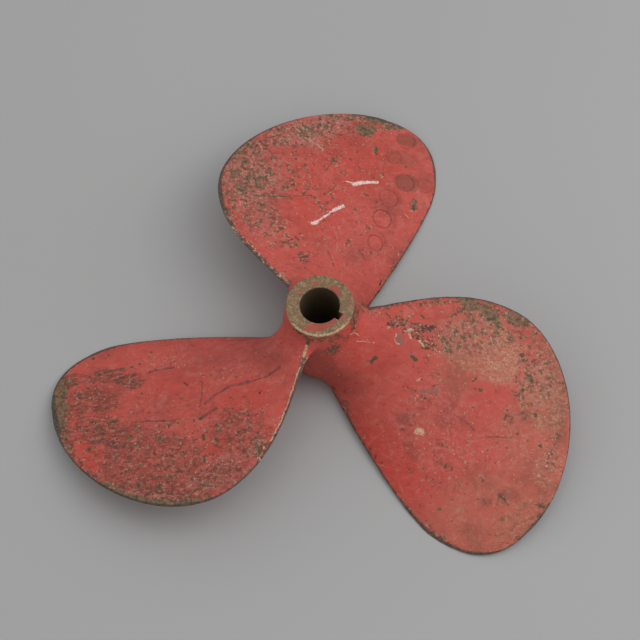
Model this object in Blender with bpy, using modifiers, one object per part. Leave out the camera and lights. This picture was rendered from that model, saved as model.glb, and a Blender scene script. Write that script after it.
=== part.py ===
"""Three-bladed fixed-pitch ship propeller: one bronze casting, right-handed.

The shaft axis is the Z axis and the keyway points along +X. The origin lies on
the shaft axis, at the casting's centre of mass. Lengths are in metres.
"""
import math

import bmesh
import bpy

MM = 0.001

# Whole propeller
PROPELLER_RADIUS = 279.4 * MM
BLADE_COUNT = 3
FIRST_BLADE_ANGLE = math.radians(-3.0)
BLADE_PLANE_Z = -12.0 * MM

# Hub
HUB_TOP_Z = 65.0 * MM
HUB_BOTTOM_Z = -38.0 * MM
HUB_TOP_RADIUS = 33.4 * MM
HUB_WAIST_RADIUS = 38.5 * MM
HUB_WAIST_Z = 12.0 * MM
HUB_BOTTOM_RADIUS = 31.0 * MM
HUB_EDGE_BEVEL = 1.5 * MM
HUB_STEPS = 72
WALL_STEPS = 6

# Tapered bore and keyway
BORE_TOP_RADIUS = 19.4 * MM
BORE_TAPER = 1.0 / 16.0
KEYWAY_WIDTH = 8.0 * MM
KEYWAY_RADIUS = 24.0 * MM

# Helical surface of a blade
PITCH = 327.0 * MM
PITCH_RATIO_RADIUS = 0.6
PITCH_GROWTH = 63.0 * MM
RAKE = -23.0 * MM

# Developed outline, as across and radial lengths from the blade's reference line
ROOT_RADIUS = 39.0 * MM
LEADING_ROOT = 30.0 * MM
LEADING_ROOT_ANGLE = math.radians(28.0)
LEADING_WIDTH = 103.0 * MM
LEADING_WIDTH_RADIUS = 223.0 * MM
LEADING_HANDLES = (26.0 * MM, 57.0 * MM)
TRAILING_ROOT = 34.0 * MM
TRAILING_ROOT_ANGLE = math.radians(37.0)
TRAILING_WIDTH = 132.0 * MM
TRAILING_WIDTH_RADIUS = 198.0 * MM
TRAILING_HANDLES = (52.0 * MM, 52.0 * MM)
TIP_OFFSET = -29.0 * MM
TIP_HANDLES = (37.0 * MM, 42.0 * MM)

# Section thickness
ROOT_THICKNESS = 19.0 * MM
TIP_THICKNESS = 3.6 * MM
EDGE_THICKNESS = 3.2 * MM
NOSE_POWER = 24

# Root fillets, from the hub's wall out onto the faces and the edges
FILLET_WALL_RADIUS = 35.0 * MM
FACE_FILLET = 30.0 * MM
EDGE_FILLET = 16.0 * MM
RISE_OVER = 27.0 * MM
RISE_OVER_EDGE = 3.0 * MM
RISE_UNDER = 14.0 * MM
SPREAD_LEADING = 1.0 * MM
SPREAD_TRAILING = 10.0 * MM
FACING_RADIUS = 46.0 * MM

# Mesh resolution
FILLET_STEPS = 8
BLADE_STEPS = 18
SECTION_STEPS = 14
SEATED_RADIUS = 27.0 * MM
LAST_STATION = 0.985
SMOOTH_ANGLE = math.radians(40.0)


def clear_scene():
    """Remove the scene's objects and start from nothing."""
    for obj in list(bpy.data.objects):
        bpy.data.objects.remove(obj, do_unlink=True)


def new_collection(name):
    """Add a collection to the scene."""
    collection = bpy.data.collections.new(name)
    bpy.context.scene.collection.children.link(collection)
    return collection


def new_object(name, bm, collection):
    """Turn a bmesh into a smooth-shaded object in a collection."""
    mesh = bpy.data.meshes.new(name)
    bm.to_mesh(mesh)
    bm.free()
    mesh.shade_smooth()
    mesh.set_sharp_from_angle(angle=SMOOTH_ANGLE)
    obj = bpy.data.objects.new(name, mesh)
    collection.objects.link(obj)
    return obj


def as_cutter(obj):
    """Mark an object as a construction body."""
    obj.hide_render = True
    obj.display_type = "WIRE"
    return obj


def bezier(start, handle_a, handle_b, end, t):
    """Return one point of a cubic curve."""
    s = 1.0 - t
    weights = (s ** 3, 3 * t * s * s, 3 * t * t * s, t ** 3)
    points = (start, handle_a, handle_b, end)
    return tuple(sum(w * p[i] for w, p in zip(weights, points)) for i in range(2))


def outline_side(root, root_angle, width, width_radius, handles, tip_handle, side, samples=48):
    """Return one edge of the blade, root to tip, as (across, radius) points."""
    start = (side * root, ROOT_RADIUS)
    widest = (side * width, width_radius)
    tip = (TIP_OFFSET, PROPELLER_RADIUS)
    reach = math.dist(start, widest) / 3.0
    leave = (start[0] + side * reach * math.sin(root_angle), start[1] + reach * math.cos(root_angle))
    lower = (leave, (widest[0], widest[1] - handles[0]))
    upper = ((widest[0], widest[1] + handles[1]), (tip[0] + side * tip_handle, tip[1]))
    points = [bezier(start, *lower, widest, i / samples) for i in range(samples)]
    points += [bezier(widest, *upper, tip, i / samples) for i in range(samples + 1)]
    return points


def across_at(points, radius):
    """Read an edge's across length at a radius, straight on below its root."""
    for (y0, r0), (y1, r1) in zip(points, points[1:]):
        if radius <= r1:
            return y0 + (y1 - y0) * (radius - r0) / (r1 - r0)
    return points[-1][0]


def pitch_at(radius):
    """Return the pitch, which grows towards the tip."""
    return PITCH + PITCH_GROWTH * (radius / PROPELLER_RADIUS - PITCH_RATIO_RADIUS)


def rake_at(radius):
    """Return the height of the reference line at a radius."""
    return BLADE_PLANE_Z + RAKE * (radius / PROPELLER_RADIUS - PITCH_RATIO_RADIUS)


def fillet_share(radius, fillet):
    """Return 1 at the hub's wall, falling to 0 along a quarter circle."""
    reach = min(max((radius - FILLET_WALL_RADIUS) / fillet, 0.0), 1.0)
    return 1.0 - math.sqrt(1.0 - (1.0 - reach) ** 2)


def section(radius, leading, trailing):
    """Return a blade section as (across, up, radius) points, once around."""
    share = fillet_share(radius, FACE_FILLET)
    spread = fillet_share(radius, EDGE_FILLET)
    low = across_at(leading, radius) - SPREAD_LEADING * spread
    high = across_at(trailing, radius) + SPREAD_TRAILING * spread
    middle = (low + high) / 2.0
    half = (high - low) / 2.0
    pitch = pitch_at(radius)
    slope = math.atan2(pitch, 2 * math.pi * radius)
    ratio = radius / PROPELLER_RADIUS
    thickest = ROOT_THICKNESS + (TIP_THICKNESS - ROOT_THICKNESS) * ratio
    over, under = [], []
    for i in range(SECTION_STEPS + 1):
        s = -math.cos(math.pi * i / SECTION_STEPS)
        nose = math.sqrt(max(1.0 - abs(s) ** NOSE_POWER, 0.0))
        bulge = 1.0 - s * s
        camber = (thickest - EDGE_THICKNESS) * bulge
        rise_over = RISE_OVER_EDGE + (RISE_OVER - RISE_OVER_EDGE) * bulge
        top = nose * (EDGE_THICKNESS / 2.0 + share * rise_over)
        bottom = -nose * EDGE_THICKNESS / 2.0 - share * RISE_UNDER * bulge
        over.append((middle + half * s, top + camber))
        under.append((middle + half * s, bottom))
    points = []
    for across, offset in over + under[-2:0:-1]:
        turned = across - offset * math.sin(slope)
        height = rake_at(radius) + pitch * across / (2 * math.pi * radius) + offset * math.cos(slope)
        points.append((turned / radius, height, radius))
    return points


def station_radii():
    """Return the section radii: even turns of the fillet, then closer together to the tip."""
    turns = [math.pi / 2.0 * i / FILLET_STEPS for i in range(FILLET_STEPS)]
    radii = [SEATED_RADIUS] + [FILLET_WALL_RADIUS + FACE_FILLET * (1.0 - math.cos(turn)) for turn in turns]
    start = FILLET_WALL_RADIUS + FACE_FILLET
    steps = [LAST_STATION * i / BLADE_STEPS for i in range(BLADE_STEPS + 1)]
    return radii + [start + (PROPELLER_RADIUS - start) * math.sin(math.pi / 2.0 * step) for step in steps]


def build_blade(index, leading, trailing, collection):
    """Loft one blade through its sections."""
    turn = FIRST_BLADE_ANGLE + index * 2 * math.pi / BLADE_COUNT
    bm = bmesh.new()
    rings = []
    for radius in station_radii():
        ring = []
        for angle, height, r in section(radius, leading, trailing):
            ring.append(bm.verts.new((r * math.cos(turn + angle), r * math.sin(turn + angle), height)))
        rings.append(ring)
    count = len(rings[0])
    for inner, outer in zip(rings, rings[1:]):
        for i in range(count):
            j = (i + 1) % count
            bm.faces.new((inner[i], outer[i], outer[j], inner[j]))
    bm.faces.new(rings[0])
    bm.faces.new(rings[-1])
    bmesh.ops.recalc_face_normals(bm, faces=bm.faces)
    bmesh.ops.triangulate(bm, faces=bm.faces)
    return as_cutter(new_object(f"blade_{index + 1}", bm, collection))


def hub_profile():
    """Return the hub's profile, down its outer side, as (radius, z) points."""
    points = [(0.0, HUB_TOP_Z), (HUB_TOP_RADIUS - HUB_EDGE_BEVEL, HUB_TOP_Z)]
    points.append((HUB_TOP_RADIUS, HUB_TOP_Z - HUB_EDGE_BEVEL))
    top = HUB_TOP_Z - HUB_EDGE_BEVEL
    for i in range(1, WALL_STEPS + 1):
        t = i / WALL_STEPS
        swell = math.sin(math.pi / 2.0 * t)
        points.append((HUB_TOP_RADIUS + (HUB_WAIST_RADIUS - HUB_TOP_RADIUS) * swell,
                       top + (HUB_WAIST_Z - top) * t))
    bottom = HUB_BOTTOM_Z + HUB_EDGE_BEVEL
    for i in range(1, WALL_STEPS + 1):
        t = i / WALL_STEPS
        swell = math.cos(math.pi / 2.0 * t)
        points.append((HUB_BOTTOM_RADIUS + (HUB_WAIST_RADIUS - HUB_BOTTOM_RADIUS) * swell,
                       HUB_WAIST_Z + (bottom - HUB_WAIST_Z) * t))
    points.append((HUB_BOTTOM_RADIUS - HUB_EDGE_BEVEL, HUB_BOTTOM_Z))
    points.append((0.0, HUB_BOTTOM_Z))
    return points


def build_hub(collection):
    """Turn the hub's profile about the shaft axis."""
    bm = bmesh.new()
    verts = [bm.verts.new((r, 0.0, z)) for r, z in hub_profile()]
    for a, b in zip(verts, verts[1:]):
        bm.edges.new((a, b))
    hub = new_object("propeller_casting", bm, collection)
    screw = hub.modifiers.new("turn", "SCREW")
    screw.axis = "Z"
    screw.steps = HUB_STEPS
    screw.render_steps = HUB_STEPS
    screw.use_merge_vertices = True
    screw.merge_threshold = 0.00001
    screw.use_smooth_shade = True
    return hub


def build_cone(name, top_z, top_radius, bottom_z, bottom_radius, collection):
    """Add a closed cone frustum on the shaft axis."""
    bm = bmesh.new()
    bmesh.ops.create_cone(bm, cap_ends=True, segments=HUB_STEPS, radius1=bottom_radius,
                          radius2=top_radius, depth=top_z - bottom_z)
    bmesh.ops.translate(bm, verts=bm.verts, vec=(0.0, 0.0, (top_z + bottom_z) / 2.0))
    return as_cutter(new_object(name, bm, collection))


def build_bore(collection):
    """Make the tapered bore's cutter, wider at the top."""
    over = 10.0 * MM
    slope = BORE_TAPER / 2.0
    length = HUB_TOP_Z - HUB_BOTTOM_Z
    return build_cone("bore", HUB_TOP_Z + over, BORE_TOP_RADIUS + slope * over,
                      HUB_BOTTOM_Z - over, BORE_TOP_RADIUS - slope * (length + over), collection)


def build_keyway(collection):
    """Make the keyway's cutter, parallel to the tapered bore's wall."""
    over = 10.0 * MM
    slope = BORE_TAPER / 2.0
    bm = bmesh.new()
    bmesh.ops.create_cube(bm, size=1.0)
    for vert in bm.verts:
        height = HUB_TOP_Z + over if vert.co.z > 0 else HUB_BOTTOM_Z - over
        outer = KEYWAY_RADIUS - slope * (HUB_TOP_Z - height)
        vert.co = (outer if vert.co.x > 0 else 0.0, vert.co.y * KEYWAY_WIDTH, height)
    return as_cutter(new_object("keyway", bm, collection))


def build_facing(collection):
    """Make the cutter that faces the hub's lower end flat."""
    depth = 40.0 * MM
    return build_cone("facing", HUB_BOTTOM_Z, FACING_RADIUS, HUB_BOTTOM_Z - depth, FACING_RADIUS, collection)


def combine(obj, operation, other):
    """Add a Boolean with another object."""
    boolean = obj.modifiers.new(other.name, "BOOLEAN")
    boolean.operation = operation
    boolean.solver = "EXACT"
    boolean.object = other


def bronze_paint():
    """Return the casting's painted bronze material."""
    material = bpy.data.materials.new("red_paint_on_bronze")
    material.use_nodes = True
    shader = material.node_tree.nodes["Principled BSDF"]
    shader.inputs["Base Color"].default_value = (0.46, 0.09, 0.07, 1.0)
    shader.inputs["Roughness"].default_value = 0.7
    shader.inputs["Metallic"].default_value = 0.0
    return material


def main():
    """Build the propeller."""
    clear_scene()
    parts = new_collection("ship_propeller")
    cutters = new_collection("construction")
    leading = outline_side(LEADING_ROOT, LEADING_ROOT_ANGLE, LEADING_WIDTH, LEADING_WIDTH_RADIUS,
                           LEADING_HANDLES, TIP_HANDLES[0], -1.0)
    trailing = outline_side(TRAILING_ROOT, TRAILING_ROOT_ANGLE, TRAILING_WIDTH, TRAILING_WIDTH_RADIUS,
                            TRAILING_HANDLES, TIP_HANDLES[1], 1.0)
    casting = build_hub(parts)
    for index in range(BLADE_COUNT):
        combine(casting, "UNION", build_blade(index, leading, trailing, cutters))
    combine(casting, "DIFFERENCE", build_facing(cutters))
    combine(casting, "DIFFERENCE", build_bore(cutters))
    combine(casting, "DIFFERENCE", build_keyway(cutters))
    casting.data.materials.append(bronze_paint())


main()
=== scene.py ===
"""Looks for the ship propeller: one bronze casting in worn red paint, lying on a pale studio floor.

The shaft axis is Z and the keyway points along +X, as in the solids. Lengths are in metres, and
places read from the photograph are in pixels of its 640 x 640 frame.
"""
from __future__ import annotations

import logging
import math
from dataclasses import dataclass, field
from enum import Enum

import bpy
import numpy as np
from mathutils import Matrix, Vector, noise

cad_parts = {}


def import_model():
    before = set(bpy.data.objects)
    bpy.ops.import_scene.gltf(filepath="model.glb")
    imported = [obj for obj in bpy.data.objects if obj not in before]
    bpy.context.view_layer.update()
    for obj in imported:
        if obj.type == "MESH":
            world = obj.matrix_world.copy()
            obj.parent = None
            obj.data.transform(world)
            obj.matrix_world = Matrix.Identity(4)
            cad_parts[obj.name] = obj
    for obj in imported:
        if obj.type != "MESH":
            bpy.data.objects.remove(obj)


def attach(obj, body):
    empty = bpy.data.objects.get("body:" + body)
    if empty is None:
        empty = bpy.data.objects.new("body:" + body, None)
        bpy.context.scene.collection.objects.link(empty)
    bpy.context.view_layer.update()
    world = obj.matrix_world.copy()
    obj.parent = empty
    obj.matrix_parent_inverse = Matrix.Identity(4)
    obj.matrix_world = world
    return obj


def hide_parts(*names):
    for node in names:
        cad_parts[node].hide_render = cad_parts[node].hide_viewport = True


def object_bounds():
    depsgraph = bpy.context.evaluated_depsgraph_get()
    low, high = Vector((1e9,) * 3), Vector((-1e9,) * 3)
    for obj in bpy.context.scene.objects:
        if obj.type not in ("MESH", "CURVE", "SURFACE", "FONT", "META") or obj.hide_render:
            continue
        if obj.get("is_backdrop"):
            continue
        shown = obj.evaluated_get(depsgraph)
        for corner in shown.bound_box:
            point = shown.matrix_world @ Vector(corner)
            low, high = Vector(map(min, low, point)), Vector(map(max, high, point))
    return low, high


LOG = logging.getLogger("ship_propeller")
MM = 0.001
TO_MM = 1000.0
FULL_TURN = 2.0 * math.pi
FRAME_SIDE = 640.0
NODE = "propeller_casting"

Pixel = tuple[float, float]
Colour = tuple[float, float, float, float]


def display(red: float, green: float, blue: float) -> Colour:
    """Turn a colour as a screen shows it into linear light.

    Args:
        red: Red, 0 to 255.
        green: Green, 0 to 255.
        blue: Blue, 0 to 255.

    Returns:
        The colour's linear red, green, blue and alpha.
    """
    parts = []
    for part in (red, green, blue):
        part /= 255.0
        parts.append(part / 12.92 if part <= 0.04045 else ((part + 0.055) / 1.055) ** 2.4)
    return (parts[0], parts[1], parts[2], 1.0)


def ease(value: np.ndarray, low: float, high: float) -> np.ndarray:
    """Rise smoothly from 0 at low to 1 at high.

    Args:
        value: Numbers to ease.
        low: Where the rise starts.
        high: Where it ends; where it is below low, the result falls.

    Returns:
        The eased numbers.
    """
    t = np.clip((value - low) / (high - low), 0.0, 1.0)
    return t * t * (3.0 - 2.0 * t)


def activate(obj: bpy.types.Object) -> None:
    """Make an object the only selected one, and the active one.

    Args:
        obj: The object.
    """
    bpy.ops.object.select_all(action="DESELECT")
    obj.select_set(True)
    bpy.context.view_layer.objects.active = obj


def corners(obj: bpy.types.Object) -> np.ndarray:
    """Read where a mesh object's points are.

    Args:
        obj: The mesh object.

    Returns:
        Their places, one row each.
    """
    points = np.empty(len(obj.data.vertices) * 3, np.float32)
    obj.data.vertices.foreach_get("co", points)
    return points.reshape(-1, 3).astype(float)


def directions(obj: bpy.types.Object) -> np.ndarray:
    """Read which way a mesh object's surface faces at its points.

    Args:
        obj: The mesh object.

    Returns:
        The normals, one row each.
    """
    normals = np.empty(len(obj.data.vertices) * 3, np.float32)
    obj.data.vertex_normals.foreach_get("vector", normals)
    return normals.reshape(-1, 3).astype(float)


def move_corners(obj: bpy.types.Object, points: np.ndarray) -> None:
    """Put a mesh object's points at new places.

    Args:
        obj: The mesh object.
        points: The new places, one row each.
    """
    obj.data.vertices.foreach_set("co", points.astype(np.float32).ravel())
    obj.data.update()


def combine(obj: bpy.types.Object, other: bpy.types.Object, operation: str) -> None:
    """Join another solid to an object or cut it away, and remove the other one.

    Args:
        obj: The object that stays.
        other: The object that is used up.
        operation: UNION or DIFFERENCE.
    """
    activate(obj)
    step = obj.modifiers.new(other.name, "BOOLEAN")
    step.operation = operation
    step.solver = "EXACT"
    step.object = other
    bpy.ops.object.modifier_apply(modifier=step.name)
    bpy.data.objects.remove(other, do_unlink=True)


# The camera
@dataclass(frozen=True)
class PhotoView:
    """The photograph's camera, as the propeller's outline gives it."""

    place: tuple[float, float, float] = (0.47141, -0.63510, 1.59075)
    aim: tuple[float, float, float] = (-0.01447, 0.01814, -0.012)
    roll: float = math.radians(-4.30)
    lens: float = 100.386
    sensor: float = 36.0

    def axes(self) -> tuple[Vector, Vector, Vector]:
        """Turn the camera to its aim and roll it.

        Returns:
            Its right, up and forward directions.
        """
        forward = (Vector(self.aim) - Vector(self.place)).normalized()
        level = forward.cross(Vector((0.0, 0.0, 1.0))).normalized()
        above = level.cross(forward)
        right = level * math.cos(self.roll) + above * math.sin(self.roll)
        up = above * math.cos(self.roll) - level * math.sin(self.roll)
        return right, up, forward

    def focal(self) -> float:
        """Return the focal length in pixels."""
        return self.lens / self.sensor * FRAME_SIDE

    def pixels(self, points: np.ndarray) -> np.ndarray:
        """Say where points lie in the photograph.

        Args:
            points: Places in metres, one row each.

        Returns:
            Their pixels, one row each.
        """
        right, up, forward = (np.array(axis) for axis in self.axes())
        seen = points - np.array(self.place)
        depth = seen @ forward
        half = FRAME_SIDE / 2.0
        return np.stack((half + self.focal() * (seen @ right) / depth,
                         half - self.focal() * (seen @ up) / depth), axis=1)

    def ray(self, pixel: Pixel) -> Vector:
        """Look from the camera through a pixel.

        Args:
            pixel: A place in the photograph.

        Returns:
            The direction of sight.
        """
        right, up, forward = self.axes()
        half = FRAME_SIDE / 2.0
        sight = forward * self.focal() + right * (pixel[0] - half) + up * (half - pixel[1])
        return sight.normalized()

    def build(self) -> bpy.types.Object:
        """Add the camera and make it the scene's.

        Returns:
            The camera.
        """
        bpy.ops.object.camera_add(location=self.place)
        camera = bpy.context.object
        camera.name = "photo_camera"
        right, up, forward = self.axes()
        turn = Matrix((right, up, -forward)).transposed().to_4x4()
        camera.matrix_world = Matrix.Translation(self.place) @ turn
        camera.data.lens = self.lens
        camera.data.sensor_width = self.sensor
        camera.data.clip_end = 100.0
        bpy.context.scene.camera = camera
        return camera


# The casting's form
@dataclass(frozen=True)
class OutlineSide:
    """One edge of a blade's developed outline, from its root to its tip."""

    side: float
    root: float
    root_angle: float
    width: float
    width_radius: float
    handles: tuple[float, float]
    tip_handle: float
    tip_offset: float = -29.0 * MM
    root_radius: float = 39.0 * MM
    tip_radius: float = 279.4 * MM

    def points(self, samples: int = 160) -> np.ndarray:
        """Draw the edge as two curves, from the root to the widest place and on to the tip.

        Args:
            samples: The number of steps along each curve.

        Returns:
            Across lengths and radii, one row each.
        """
        start = np.array((self.side * self.root, self.root_radius))
        widest = np.array((self.side * self.width, self.width_radius))
        tip = np.array((self.tip_offset, self.tip_radius))
        reach = float(np.hypot(*(widest - start))) / 3.0
        leave = start + reach * np.array((self.side * math.sin(self.root_angle),
                                          math.cos(self.root_angle)))
        below = widest - np.array((0.0, self.handles[0]))
        above = widest + np.array((0.0, self.handles[1]))
        before = tip + np.array((self.side * self.tip_handle, 0.0))
        t = np.linspace(0.0, 1.0, samples)[:, None]
        rows = []
        for a, b, c, d in ((start, leave, below, widest), (widest, above, before, tip)):
            rows.append((1 - t) ** 3 * a + 3 * t * (1 - t) ** 2 * b
                        + 3 * t * t * (1 - t) * c + t ** 3 * d)
        return np.concatenate(rows)

    def across(self, radius: np.ndarray) -> np.ndarray:
        """Read the edge's across length at some radii, straight on below its root.

        Args:
            radius: The radii.

        Returns:
            The across lengths.
        """
        rows = self.points()
        slope = (rows[1, 0] - rows[0, 0]) / (rows[1, 1] - rows[0, 1])
        inner = self.root_radius / 2.0
        first = rows[0, 0] - slope * (rows[0, 1] - inner)
        lengths = np.concatenate(((first,), rows[:, 0]))
        radii = np.maximum.accumulate(np.concatenate(((inner,), rows[:, 1])))
        return np.interp(radius, radii, lengths)


@dataclass(frozen=True)
class BladeForm:
    """The shape of one blade: a raked helical surface with a thickness and root fillets."""

    count: int = 3
    first_angle: float = math.radians(-3.0)
    radius: float = 279.4 * MM
    plane_z: float = -12.0 * MM
    pitch: float = 327.0 * MM
    pitch_ratio: float = 0.6
    pitch_growth: float = 63.0 * MM
    rake: float = -23.0 * MM
    low_side: OutlineSide = OutlineSide(-1.0, 30.0 * MM, math.radians(28.0), 103.0 * MM, 223.0 * MM,
                                        (26.0 * MM, 57.0 * MM), 37.0 * MM)
    high_side: OutlineSide = OutlineSide(1.0, 34.0 * MM, math.radians(37.0), 132.0 * MM, 198.0 * MM,
                                         (52.0 * MM, 52.0 * MM), 42.0 * MM)
    root_thickness: float = 19.0 * MM
    tip_thickness: float = 3.6 * MM
    edge_thickness: float = 3.2 * MM
    nose_power: int = 24
    nose_rest: float = 0.22
    wall_radius: float = 35.0 * MM
    face_fillet: float = 30.0 * MM
    edge_fillet: float = 16.0 * MM
    rise_over: float = 27.0 * MM
    rise_over_edge: float = 3.0 * MM
    rise_under: float = 14.0 * MM
    spread_low: float = 1.0 * MM
    spread_high: float = 10.0 * MM
    seated_radius: float = 27.0 * MM
    trim_power: int = 12

    def turn(self, index: int) -> float:
        """Return the angle of a blade's reference line."""
        return self.first_angle + index * FULL_TURN / self.count

    def pitch_at(self, radius: np.ndarray) -> np.ndarray:
        """Return the pitch, which grows towards the tip."""
        return self.pitch + self.pitch_growth * (radius / self.radius - self.pitch_ratio)

    def rake_at(self, radius: np.ndarray) -> np.ndarray:
        """Return the height of the reference line."""
        return self.plane_z + self.rake * (radius / self.radius - self.pitch_ratio)

    def fillet_share(self, radius: np.ndarray, fillet: float) -> np.ndarray:
        """Return 1 at the hub's wall, falling to 0 along a quarter circle."""
        reach = np.clip((radius - self.wall_radius) / fillet, 0.0, 1.0)
        return 1.0 - np.sqrt(1.0 - (1.0 - reach) ** 2)

    def edges(self, radius: np.ndarray) -> tuple[np.ndarray, np.ndarray]:
        """Find both edges at some radii, with their spread at the root.

        Args:
            radius: The radii.

        Returns:
            The across lengths of the low edge and of the high one.
        """
        spread = self.fillet_share(radius, self.edge_fillet)
        return (self.low_side.across(radius) - self.spread_low * spread,
                self.high_side.across(radius) + self.spread_high * spread)

    def place(self, s: np.ndarray, radius: np.ndarray, over: np.ndarray,
              trim: np.ndarray) -> np.ndarray:
        """Put points of one blade in place, about a reference line along +X.

        Args:
            s: Places across the blade, -1 at the low edge and 1 at the high one.
            radius: Their radii.
            over: True on the upper side, False on the under side.
            trim: How far the edge is worn back there.

        Returns:
            The points, one row each.
        """
        share = self.fillet_share(radius, self.face_fillet)
        low, high = self.edges(radius)
        half = (high - low) / 2.0
        across = (low + high) / 2.0 + s * (half - trim * np.abs(s) ** self.trim_power)
        slope = np.arctan2(self.pitch_at(radius), FULL_TURN * radius)
        thinning = self.tip_thickness - self.root_thickness
        thickest = self.root_thickness + thinning * radius / self.radius
        nose = np.sqrt(np.maximum(1.0 - np.abs(s) ** self.nose_power, self.nose_rest ** 2))
        bulge = 1.0 - s * s
        rise = self.rise_over_edge + (self.rise_over - self.rise_over_edge) * bulge
        upper = (nose * (self.edge_thickness / 2.0 + share * rise)
                 + (thickest - self.edge_thickness) * bulge)
        under = -nose * self.edge_thickness / 2.0 - share * self.rise_under * bulge
        offset = np.where(over, upper, under)
        angle = (across - offset * np.sin(slope)) / radius
        height = (self.rake_at(radius) + self.pitch_at(radius) * across / (FULL_TURN * radius)
                  + offset * np.cos(slope))
        return np.stack((radius * np.cos(angle), radius * np.sin(angle), height), axis=1)

    def read_back(self, points: np.ndarray) -> tuple[np.ndarray, np.ndarray]:
        """Find where points lie on their blades.

        Args:
            points: Places in metres, one row each.

        Returns:
            For each point, the length in from the nearest edge and the height above the
            helical surface.
        """
        radius = np.hypot(points[:, 0], points[:, 1])
        sector = FULL_TURN / self.count
        angle = np.arctan2(points[:, 1], points[:, 0]) - self.first_angle
        best = None
        for shift in (-1, 0, 1):
            index = np.round(angle / sector) + shift
            local = angle - sector * index
            pitch = self.pitch_at(radius)
            lift = points[:, 2] - self.rake_at(radius)
            slope = np.arctan2(pitch, FULL_TURN * radius)
            offset = (lift - local * radius * np.tan(slope)) * np.cos(slope)
            across = local * radius + offset * np.sin(slope)
            low, high = self.edges(radius)
            inset = np.minimum(np.minimum(across - low, high - across), self.radius - radius)
            rows = np.stack((inset, offset))
            if best is None:
                best = rows
            else:
                better = np.abs(rows[1]) < np.abs(best[1])
                best = np.where(better[None, :], rows, best)
        return best[0], best[1]


@dataclass(frozen=True)
class HubForm:
    """The hub: a short barrel around a tapered, keyed bore."""

    top_z: float = 65.0 * MM
    bottom_z: float = -38.0 * MM
    top_radius: float = 33.4 * MM
    waist_radius: float = 38.5 * MM
    waist_z: float = 12.0 * MM
    bottom_radius: float = 31.0 * MM
    bevel: float = 1.5 * MM
    bore_radius: float = 19.4 * MM
    bore_taper: float = 1.0 / 16.0
    bore_bevel: float = 0.5 * MM
    key_width: float = 8.0 * MM
    key_radius: float = 24.0 * MM
    facing_radius: float = 46.0 * MM
    steps: int = 144
    wall_steps: int = 18
    face_steps: int = 8
    round_steps: int = 3

    def bore_at(self, z: float) -> float:
        """Return the bore's radius at a height."""
        return self.bore_radius - self.bore_taper / 2.0 * (self.top_z - z)

    def profile(self) -> list[tuple[float, float]]:
        """Draw the wall's closed profile, down its outer side and up the bore.

        Returns:
            Radii and heights, one pair each.
        """
        quarter = math.pi / 2.0
        rows = []
        for i in range(self.round_steps + 1):
            turn = quarter * i / self.round_steps
            rows.append((self.top_radius - self.bevel * (1.0 - math.sin(turn)),
                         self.top_z - self.bevel * (1.0 - math.cos(turn))))
        top = self.top_z - self.bevel
        for i in range(1, self.wall_steps + 1):
            t = i / self.wall_steps
            swell = (self.waist_radius - self.top_radius) * math.sin(quarter * t)
            rows.append((self.top_radius + swell, top + (self.waist_z - top) * t))
        bottom = self.bottom_z + self.bevel
        for i in range(1, self.wall_steps + 1):
            t = i / self.wall_steps
            swell = (self.waist_radius - self.bottom_radius) * math.cos(quarter * t)
            rows.append((self.bottom_radius + swell, self.waist_z + (bottom - self.waist_z) * t))
        inner_low = self.bore_at(self.bottom_z) + self.bore_bevel
        outer_low = self.bottom_radius - self.bevel
        for i in range(self.face_steps + 1):
            rows.append((outer_low + (inner_low - outer_low) * i / self.face_steps, self.bottom_z))
        for i in range(2 * self.wall_steps + 1):
            z = (self.bottom_z + self.bore_bevel
                 + (self.top_z - self.bottom_z - 2.0 * self.bore_bevel) * i / (2 * self.wall_steps))
            rows.append((self.bore_at(z), z))
        inner_top = self.bore_radius + self.bore_bevel
        outer_top = self.top_radius - self.bevel
        for i in range(self.face_steps):
            rows.append((inner_top + (outer_top - inner_top) * i / self.face_steps, self.top_z))
        return rows


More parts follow.
